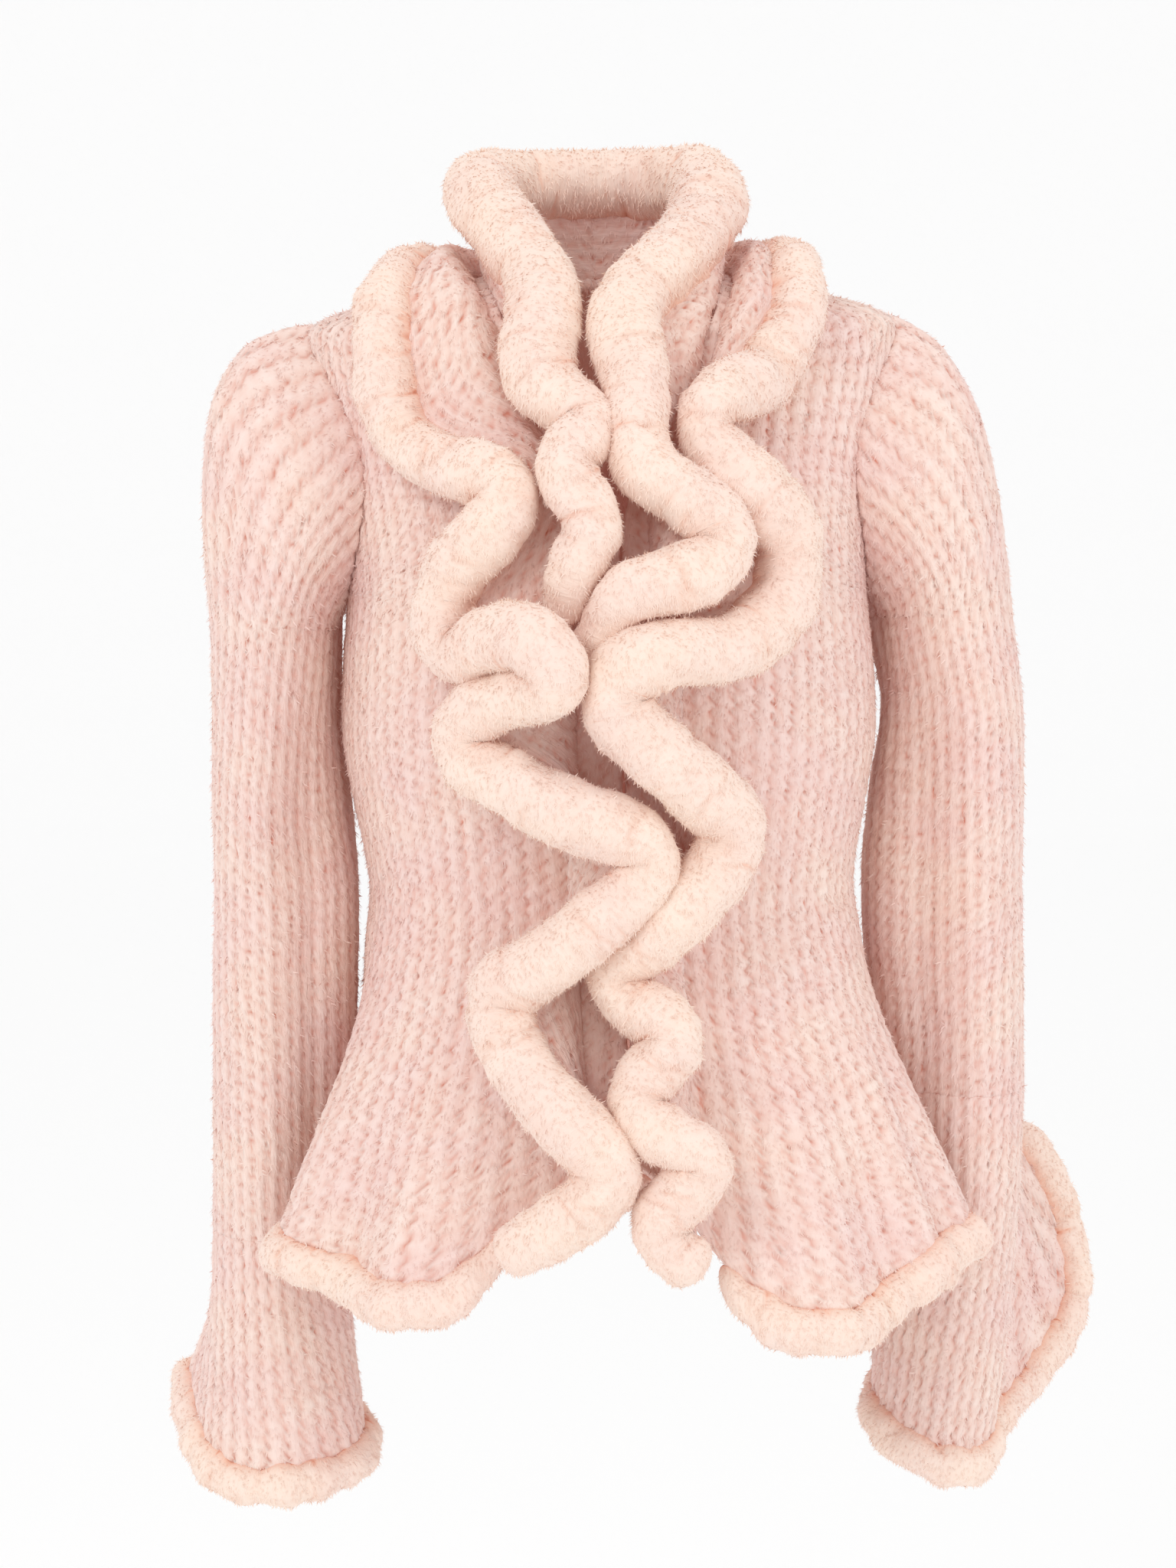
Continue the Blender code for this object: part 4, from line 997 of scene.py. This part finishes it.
rollSizes = {
    # mm by which the pile is fuller than the solid. The inner pair's rolls crowd together below the neck.
    "grow": 4.4, "innerGrow": 6.0, "bandGrow": 1.8,
    "spacing": 3.0, "around": 36,       # mm from ring to ring, points in a ring
    "lump": (2.3, 17.0), "tuft": (1.3, 7.0),        # mm, how high and how long
    # of the bands at hem and cuffs: mm high and long, wander, how narrow and deep the dip between two is
    "scallop": 1.3, "scallopLength": 25.0, "scallopDrift": (0.3, 40.0), "dipPower": 0.5, "dip": 1.2,
    "fluffAndShade": 0.88, "fluffTone": (0.10, 12.0),
    # painted shade: darker where a roll meets the cloth and inside its bends, a little lighter where a bend
    # opens
    "seamShade": 0.35, "seamFade": 2.4,     # at the cloth, and how soon it is past
    "bendShade": (0.42, 0.62), "bendRange": (0.25, 1.06),       # where a bend closes or opens the pile
    "domeRings": 5, "domeOpen": 0.4, "domeHeight": 0.8,
    "napGirth": 110.0,      # mm of nap round the roll
    # where the pile parts across the roll: mm from one to the next, width, depth, how much painted shade
    # darkens it, least and further half length as shares of the way round, mm that it slants and waves, how
    # it fades
    "partEvery": 18.0, "partWidth": 1.9, "partDepth": 1.3, "partShade": 0.36,
    "partHalf": (0.10, 0.22), "partSlant": 14, "partWave": (2.0, 25, 9), "partFade": 1.6,
}


# how strongly the pile parts at each point of a roll, from 0 to 1
def partings(along, turns, seed, total, closed):
    r = rollSizes
    random = np.random.default_rng(seed)
    least, further = r["partHalf"]
    wave, turnsOfWave, shift = r["partWave"]
    strength = np.zeros((len(along), len(turns)))
    for _ in range(int(along[-1] / r["partEvery"])):
        place, turn = random.random() * along[-1], random.random()
        half, slant = least + further * random.random(), random.normal() * r["partSlant"]
        off = (turns - turn + 0.5) % 1 - 0.5
        waved = wave * np.sin(off[None] * turnsOfWave + turn * shift)
        bent = along[:, None] - place - slant * off[None] - waved
        if closed:
            bent = (bent + total / 2) % total - total / 2
        fade = smoothstep(r["partFade"] * (1 - np.abs(off) / half))
        strength = np.maximum(strength, np.exp(-(bent / r["partWidth"]) ** 2) * fade[None])
    return strength


def ringSteps(rings, closed):
    if closed:
        return (np.roll(rings, -1, axis=0) - np.roll(rings, 1, axis=0)) / 2
    return np.gradient(rings, axis=0)


# smaller and smaller rings past one end of a roll
def addDome(fine, fluffAndShade, along, tangent, end):
    r = rollSizes
    centre = fine[end].mean(axis=0)
    reach = np.linalg.norm(fine[end] - centre, axis=1).mean()
    out = normalized(tangent) * (1 if end else -1)
    count = r["domeRings"]
    a = (pi / 2 * np.arange(1, count + 1) / (count + r["domeOpen"]))[:, None, None]
    extra = centre + (fine[end] - centre) * np.cos(a) + out * (reach * r["domeHeight"] * np.sin(a))
    length = reach * np.arange(1, count + 1) / count
    tips = np.repeat(fluffAndShade[end][None], count, axis=0)
    if end:
        return [np.concatenate(both) for both in ((fine, extra), (fluffAndShade, tips), (along, along[-1] + length))]
    ahead = along[0] - length[::-1]
    return [np.concatenate(both) for both in ((extra[::-1], fine), (tips, fluffAndShade), (ahead, along))]


# a fur roll through rings of points
def rollPiece(name, loops, seed, grow, band=False, closedAlong=False, domes=(False, True)):
    r = rollSizes
    sides = loops.shape[1]
    rings = np.concatenate((loops, loops[:1])) if closedAlong else loops
    ringsAt = evenPlaces(stepLengths(rings), r["spacing"])
    if closedAlong:
        ringsAt = ringsAt[:-1]
    turns = np.arange(r["around"]) / r["around"]
    aroundAt = ruffleSizes["clothSide"] + 0.5 + np.arange(r["around"]) * sides / r["around"]
    fine = readGrid(loops, ringsAt, aroundAt, closedAlong, True)
    centres = fine.mean(axis=1, keepdims=True)
    along = runningLengths(centres[:, 0])
    total = along[-1] + (np.linalg.norm(centres[0, 0] - centres[-1, 0]) if closedAlong else 0)
    swell = uneven(fine, r["lump"], seed) + uneven(fine, r["tuft"], seed + 1) + grow
    if band:
        scallops = round(total / r["scallopLength"])
        beat = along * scallops / total + uneven(centres[:, 0], r["scallopDrift"], seed + 2)
        swell = swell + (r["scallop"] * (np.abs(np.cos(pi * beat)) ** r["dipPower"] * 2 - r["dip"]))[:, None]
    parted = partings(along, turns, seed + 5, total, closedAlong)
    swell = swell - r["partDepth"] * parted
    tangents = ringSteps(centres[:, 0], closedAlong)
    spread = np.einsum("kjn,kn->kj", ringSteps(fine, closedAlong), normalized(tangents))
    spread = spread / np.linalg.norm(tangents, axis=1)[:, None]
    fine = fine + normalized(fine - centres) * swell[..., None]
    # painted shade: darker towards the cloth side and inside the bends
    away = np.abs((aroundAt - ruffleSizes["clothSide"] - 0.5 + sides / 2) % sides - sides / 2) / (sides / 2)
    shade = r["seamShade"] + (1 - r["seamShade"]) * smoothstep(away * r["seamFade"])
    level, opened = r["bendShade"]
    fluffAndShade = r["fluffAndShade"] * shade * np.clip(level + opened * spread, *r["bendRange"])
    fluffAndShade = fluffAndShade + uneven(fine, r["fluffTone"], seed + 3)
    # painted shade in the partings
    fluffAndShade = np.clip(fluffAndShade - r["partShade"] * parted, 0, 1)
    for end, wanted in zip((0, -1), domes):
        if wanted and not closedAlong:
            fine, fluffAndShade, along = addDome(fine, fluffAndShade, along, tangents[end], end)
    bm = newFurMesh()
    napU = np.repeat(along[:, None], r["around"], axis=1)
    napV = np.repeat((turns * r["napGirth"])[None], len(fine), axis=0)
    addFace(bm, fine, napU, napV, fluffAndShade, closedAcross=True, closedAlong=closedAlong)
    if not closedAlong:
        bmesh.ops.holes_fill(bm, edges=borderEdges(bm), sides=0)
    return finishPiece(name, bm, rolledFur)


def ruffleWeb(name, outer, inner, seed):
    k = knitSizes
    middle = (outer + inner) / 2
    rowsAt = evenPlaces(stepLengths(middle), k["ruffleSpacing"])
    columnsAt = evenPlaces(stepLengths(middle.transpose(1, 0, 2)), k["ruffleSpacing"])
    faces = [readGrid(face, rowsAt, columnsAt) for face in (outer, inner)]
    ways = normalized(faces[0] - faces[1])
    across = acrossLengths(faces[0])
    columns = (across[:, -1:] - across) / k["ruffleColumn"]
    along = downLengths(faces[0])
    bm = newFurMesh()
    knitFace(bm, faces[0], ways, columns, along, seed, "ruffleRelief")
    knitFace(bm, faces[1], -ways, columns, along, seed + 11, "ruffleRelief")
    closeWall(bm)
    return finishPiece(name, bm, knittedFur)


def waysOut(outer, inner, side):
    along = np.roll(outer, -1, axis=0) - np.roll(outer, 1, axis=0)
    off = normalized(outer - inner)
    out = normalized(np.cross(along, off) * -side)
    return normalized(np.roll(out, 1, axis=0) + out * 2 + np.roll(out, -1, axis=0)), off


pieces = {}


def dress(piece, node, slot):
    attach(piece, "root")
    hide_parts(node)
    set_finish(piece, slot)
    pieces[node] = piece


print("body")
angleGrids = {"front_right": frontAngles(-1), "front_left": frontAngles(1), "back": backAngles()}
coarseOuter = {name: bodyFace(grid) for name, grid in angleGrids.items()}
coarseInner = {name: bodyInside(grid) for name, grid in angleGrids.items()}
angleGrids["back"][..., 0] = 180 + (angleGrids["back"][..., 0] - 180) * bodySizes["backOverlap"]
bodySeed = 11       # the same for all panels, so that their knit meets at the seams
for name, grid in angleGrids.items():
    dress(bodyPanel(name + "_knit", grid, bodySeed), name, "knitted_fur")

print("sleeves and cuffs")
turnRings = 3       # rings over which a sleeve's wall turns from the armhole's edge to its own way
turnRoll = 1.8      # how far round it swings under the arm
# the sleeve's inner side crowds in behind the body's: how deep and down to which z on each side, from which z
crowding = {"right": (6.5, -368), "left": (11.0, -284), "top": -198, "fade": 26.0, "inward": 28, "behind": 22}


def crowdIn(rings, side, key):
    c = crowding
    depth, bottom = c[key]
    away = rings - rings.mean(axis=1, keepdims=True)
    inward = smoothstep(-away[..., 0] * side / c["inward"])
    behind = smoothstep(away[..., 1] / c["behind"])
    z = rings[..., 2]
    fade = smoothstep((c["top"] - z) / c["fade"]) * smoothstep((z - bottom) / c["fade"])
    moved = rings.copy()
    moved[..., 0] -= side * depth * inward * behind * fade
    return moved


cuffBand = {"height": 11.5, "depth": 10.0}
hemBand = {"height": 13.0, "depth": 10.0, "start": {"right": 3, "left": 2}}     # first column past the ruffle
overlap, around = knitSizes["seamOverlap"], knitSizes["sleeveRound"]
for seed, key, side in ((21, "right", -1), (22, "left", 1)):
    edge = 0 if side == 1 else -1
    ringOut = armholeRing(coarseOuter["front_" + key], coarseOuter["back"], edge)
    ringIn = armholeRing(coarseInner["front_" + key], coarseInner["back"], edge)
    push, facesOut = waysOut(ringOut, ringIn, side)
    rings = sleeveRings(side, key, ringOut - push * overlap + facesOut * bodySizes["seamGap"])
    rings = crowdIn(rings, side, key)
    t = np.minimum(np.arange(len(rings)) / turnRings, 1)[:, None, None]
    normals = gridNormals(rings, closedAcross=True) * side
    against = np.maximum((facesOut[None] * normals).sum(axis=-1, keepdims=True), 0)
    ways = normals * t - facesOut[None] * (1 - t) + push[None] * (against * turnRoll * np.sin(pi * t))
    innerRings = rings + normalized(ways) * bodySizes["wall"]
    innerRings[0] = ringIn - push * overlap
    innerRings[-1][:, 2] = rings[-1][:, 2]
    node = "sleeve_" + key
    dress(tube(node + "_knit", rings, innerRings, around, seed), node, "knitted_fur")
    length = downLengths(rings)[-1].mean()
    cuff = cuffRings(side, key, rings[-1] + np.array((0, 0, overlap)))
    cuffIn = cuff + gridNormals(cuff, closedAcross=True) * side * bodySizes["wall"]
    node = "cuff_" + key
    dress(tube(node + "_knit", cuff, cuffIn, around, seed, length), node, "knitted_fur")
    loops = edgeLoops(cuff, cuffIn, cuffBand, closed=True)
    node = "cuff_edge_" + key
    roll = rollPiece(node + "_fur", loops, seed + 20, rollSizes["bandGrow"], band=True, closedAlong=True)
    dress(roll, node, "fur_roll")

print("hem")
for seed, name in ((51, "right"), (52, "left"), (53, "back")):
    panel = "back" if name == "back" else "front_" + name
    first = hemBand["start"].get(name, 0)
    loops = edgeLoops(coarseOuter[panel][:, first:], coarseInner[panel][:, first:], hemBand)
    node = "hem_edge_" + name
    domes = (name != "back", False)
    roll = rollPiece(node + "_fur", loops, seed, rollSizes["bandGrow"], band=True, domes=domes)
    dress(roll, node, "fur_roll")

print("ruffle")
skin = skinOf(coarseOuter.values())
for seed, name, side in ((61, "outer_right", -1), (61, "outer_left", 1),
                         (63, "inner_right", -1), (63, "inner_left", 1)):
    webOut, webIn, loops = ruffleForm(name, side, skin)
    for rings in (webOut, webIn, loops):
        rings[0, ..., 0] = -side * ruffleSizes["overlap"]
    node = "ruffle_" + name
    dress(ruffleWeb(node + "_knit", webOut, webIn, seed), node, "knitted_fur")
    node = "ruffle_edge_" + name
    grow = rollSizes["innerGrow" if "inner" in name else "grow"]
    dress(rollPiece(node + "_fur", loops, seed + 10, grow), node, "fur_roll")

print("fur")
# single hairs can't be counted here, so each blade stands for a lock of the pile
lockSizes = {
    # mm from lock to lock, their length and width, degrees from upright, how much their tone differs
    "knit": {"spacing": 3.1, "length": 4.0, "width": 1.1, "lean": 62.0, "tone": 0.10},
    "roll": {"spacing": 2.45, "length": 3.8, "width": 0.95, "lean": 56.0, "tone": 0.06},
    "stray": 0.45,          # how far locks turn from the nap
    "leastFluff": 0.44,     # none grow in creases or on the inside
    "leans": (0.8, 0.4), "sizes": (0.7, 0.6),       # the least, and how much more there may be
    "root": 0.4,            # mm under the face
    "ends": (-0.06, -0.06, 0.1), "darkShare": 0.4,      # tone at the two roots and the tip
    "napReach": 0.5,        # m of nap that they are taken from
    "firstSeed": 100,
}


# locks of fur standing on a piece, as a piece of their own
def furLocks(name, piece, kind, seed):
    every, s = lockSizes, lockSizes[kind]
    mesh = piece.data
    mesh.calc_loop_triangles()
    points, normals = (readField(mesh.vertices, field, 3) for field in ("co", "normal"))
    fluffAndShade = readField(mesh.attributes["fluffAndShade"].data, "value")
    corners = readField(mesh.loop_triangles, "vertices", 3, np.int32)
    a, b, c = (points[corners[:, n]] for n in range(3))
    areas = np.linalg.norm(np.cross(b - a, c - a), axis=1) / 2
    areas = areas * (fluffAndShade[corners].min(axis=1) > every["leastFluff"])
    locks = int(areas.sum() / (s["spacing"] * mm) ** 2)
    random = np.random.default_rng(seed)
    chosen = corners[random.choice(len(areas), locks, p=areas / areas.sum())]
    share = random.random((locks, 2))
    share = np.where(share.sum(axis=1, keepdims=True) > 1, 1 - share, share)
    weights = np.stack((1 - share.sum(axis=1), share[:, 0], share[:, 1]), axis=1)[..., None]
    roots = (points[chosen] * weights).sum(axis=1)
    out = normalized((normals[chosen] * weights).sum(axis=1))
    # each lock takes as its tone the fluff and painted shade of the pile where it stands
    tone = (fluffAndShade[chosen][..., None] * weights).sum(axis=1)[:, 0]
    nap = np.array((0, 0, -1.0)) + every["stray"] * random.normal(size=(locks, 3))
    nap = normalized(nap - out * (nap * out).sum(axis=1, keepdims=True))
    least, more = every["leans"]
    lean = np.radians(s["lean"]) * (least + more * random.random((locks, 1)))
    way = out * np.cos(lean) + nap * np.sin(lean)
    side = normalized(np.cross(out, nap))
    least, more = every["sizes"]
    size = least + more * random.random((locks, 1))
    half = side * (s["width"] * mm / 2) * size
    roots = roots - out * (every["root"] * mm)
    corner = np.stack((roots + half, roots - half, roots + way * (s["length"] * mm) * size), axis=1)
    flipped = (np.cross(corner[:, 1] - corner[:, 0], corner[:, 2] - corner[:, 0]) * out).sum(axis=1) < 0
    corner[flipped] = corner[flipped][:, (1, 0, 2)]
    shade = tone + s["tone"] * (random.random(locks) - every["darkShare"])
    shade = np.clip(shade[:, None] + every["ends"], 0, 1).astype(np.float32)
    made = bpy.data.meshes.new(name)
    made.from_pydata(corner.reshape(-1, 3), [], np.arange(locks * 3).reshape(-1, 3).tolist())
    made.attributes.new("fluffAndShade", "FLOAT", "POINT").data.foreach_set("value", shade.reshape(-1))
    uv = np.repeat(random.random((locks, 1, 2)) * every["napReach"], 3, axis=1)
    uv[:, 2, 1] += s["length"] * mm
    uv[:, 1, 0] += s["width"] * mm
    made.uv_layers.new(name="nap").data.foreach_set("uv", uv.reshape(-1).astype(np.float32))
    fur = addMesh(name, made, looseLocks[kind])
    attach(fur, "root")
    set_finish(fur, piece["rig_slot"])
    return fur


locksOf = {}
for seed, (node, piece) in enumerate(pieces.items(), lockSizes["firstSeed"]):
    locksOf[node] = furLocks(node + "_locks", piece, "roll" if "edge" in node else "knit", seed)

# the cut of each piece of cloth: width and length in m, and area in square metres
cutSizes = {
    "front_right": (0.38, 0.65, 0.138), "front_left": (0.41, 0.65, 0.145), "back": (0.59, 0.64, 0.277),
    "sleeve_right": (0.40, 0.60, 0.174), "sleeve_left": (0.40, 0.52, 0.151),
    "cuff_right": (0.44, 0.15, 0.046), "cuff_left": (0.64, 0.24, 0.073),
    "ruffle_outer_right": (0.055, 1.18, 0.046), "ruffle_outer_left": (0.050, 1.09, 0.039),
    "ruffle_inner_right": (0.040, 0.45, 0.0140), "ruffle_inner_left": (0.045, 0.53, 0.0185),
}
edgeOf = {"front_right": "hem_edge_right", "front_left": "hem_edge_left", "back": "hem_edge_back"}
for node, (width, length, area) in cutSizes.items():
    roll = edgeOf.get(node, node.replace("cuff_", "cuff_edge_").replace("ruffle_", "ruffle_edge_"))
    rider = [locksOf[n] for n in dict.fromkeys((node, roll)) if n in locksOf]
    rider += [pieces[roll]] if roll != node else []

print("studio")
studioSizes = {
    "floorZ": -1420, "reach": 9500, "behind": 9500, "curve": 1500, "top": 6500,      # mm
    "backdrop": "FFFFFF", "roughness": 0.9, "world": "FFFFFF", "worldStrength": 0.955,
    # name, place in m, width in m, power in W, aimed at
    "lights": [("keyLight", (-1.6, -2.6, 1.5), 1.6, 18, (0, 0, -0.35)),
               ("fillLight", (2.2, -2.2, 0.4), 2.0, 8, (0, 0, -0.4))],
    "sensor": 36, "lens": 6182 / 2048 * 36,     # mm
    "pitch": 6.0, "yaw": 4.0, "roll": 1.06, "eye": (-224.5, -3010.4, -21.2),        # degrees, mm
}


def makeBackdrop():
    s = studioSizes
    bm = bmesh.new()
    floor, back, bend, reach = s["floorZ"], s["behind"], s["curve"], s["reach"]
    turns = [radians(a) for a in range(10, 91, 10)]
    line = [(-reach, floor), (back - bend, floor)]
    line += [(back - bend + bend * sin(a), floor + bend * (1 - cos(a))) for a in turns]
    line.append((back, s["top"]))
    verts = [bm.verts.new((-reach * mm, y * mm, z * mm)) for y, z in line]
    edges = [bm.edges.new(pair) for pair in zip(verts, verts[1:])]
    made = bmesh.ops.extrude_edge_only(bm, edges=edges)["geom"]
    moved = [item for item in made if isinstance(item, bmesh.types.BMVert)]
    bmesh.ops.translate(bm, verts=moved, vec=(2 * reach * mm, 0, 0))
    material = bpy.data.materials.new("paintedBackdrop")        # plain white and matt
    material.use_nodes = True
    shader = material.node_tree.nodes["Principled BSDF"]
    shader.inputs["Base Color"].default_value = hexColour(s["backdrop"])
    shader.inputs["Roughness"].default_value = s["roughness"]
    return addMesh("backdrop", meshFrom("backdrop", bm), material)


scene = bpy.context.scene
makeBackdrop()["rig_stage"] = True
world = bpy.data.worlds.new("paleStudio")
world.use_nodes = True
background = world.node_tree.nodes["Background"].inputs
background["Color"].default_value = hexColour(studioSizes["world"])
background["Strength"].default_value = studioSizes["worldStrength"]
scene.world = world
scene.view_settings.view_transform = "Standard"
for name, place, size, power, target in studioSizes["lights"]:
    light = bpy.data.lights.new(name, "AREA")
    light.shape = "DISK"
    light.size = size
    light.energy = power
    lamp = addObject(name, light)
    lamp.location = place
    lamp.rotation_euler = (Vector(target) - Vector(place)).to_track_quat("-Z", "Y").to_euler()

pitch, yaw, roll = (radians(studioSizes[key]) for key in ("pitch", "yaw", "roll"))
forward = Vector((sin(yaw) * cos(pitch), cos(yaw) * cos(pitch), -sin(pitch)))
level = Vector((cos(yaw), -sin(yaw), 0))
upright = Vector((sin(yaw) * sin(pitch), cos(yaw) * sin(pitch), cos(pitch)))
camera = bpy.data.cameras.new("camera")
camera.lens = studioSizes["lens"]
camera.sensor_fit = "VERTICAL"
camera.sensor_height = studioSizes["sensor"]
eye = addObject("camera", camera)
sideways, up = level * cos(roll) - upright * sin(roll), level * sin(roll) + upright * cos(roll)
turned = Matrix((sideways, up, -forward)).transposed().to_4x4()
eye.matrix_world = Matrix.Translation(Vector(studioSizes["eye"]) * mm) @ turned
scene.camera = eye

total = 0
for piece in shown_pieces():
    if piece.type == "MESH" and not piece.hide_render:
        piece.data.calc_loop_triangles()
        count = len(piece.data.loop_triangles)
        total += count
        print(piece.name, count)
print("triangles", total)
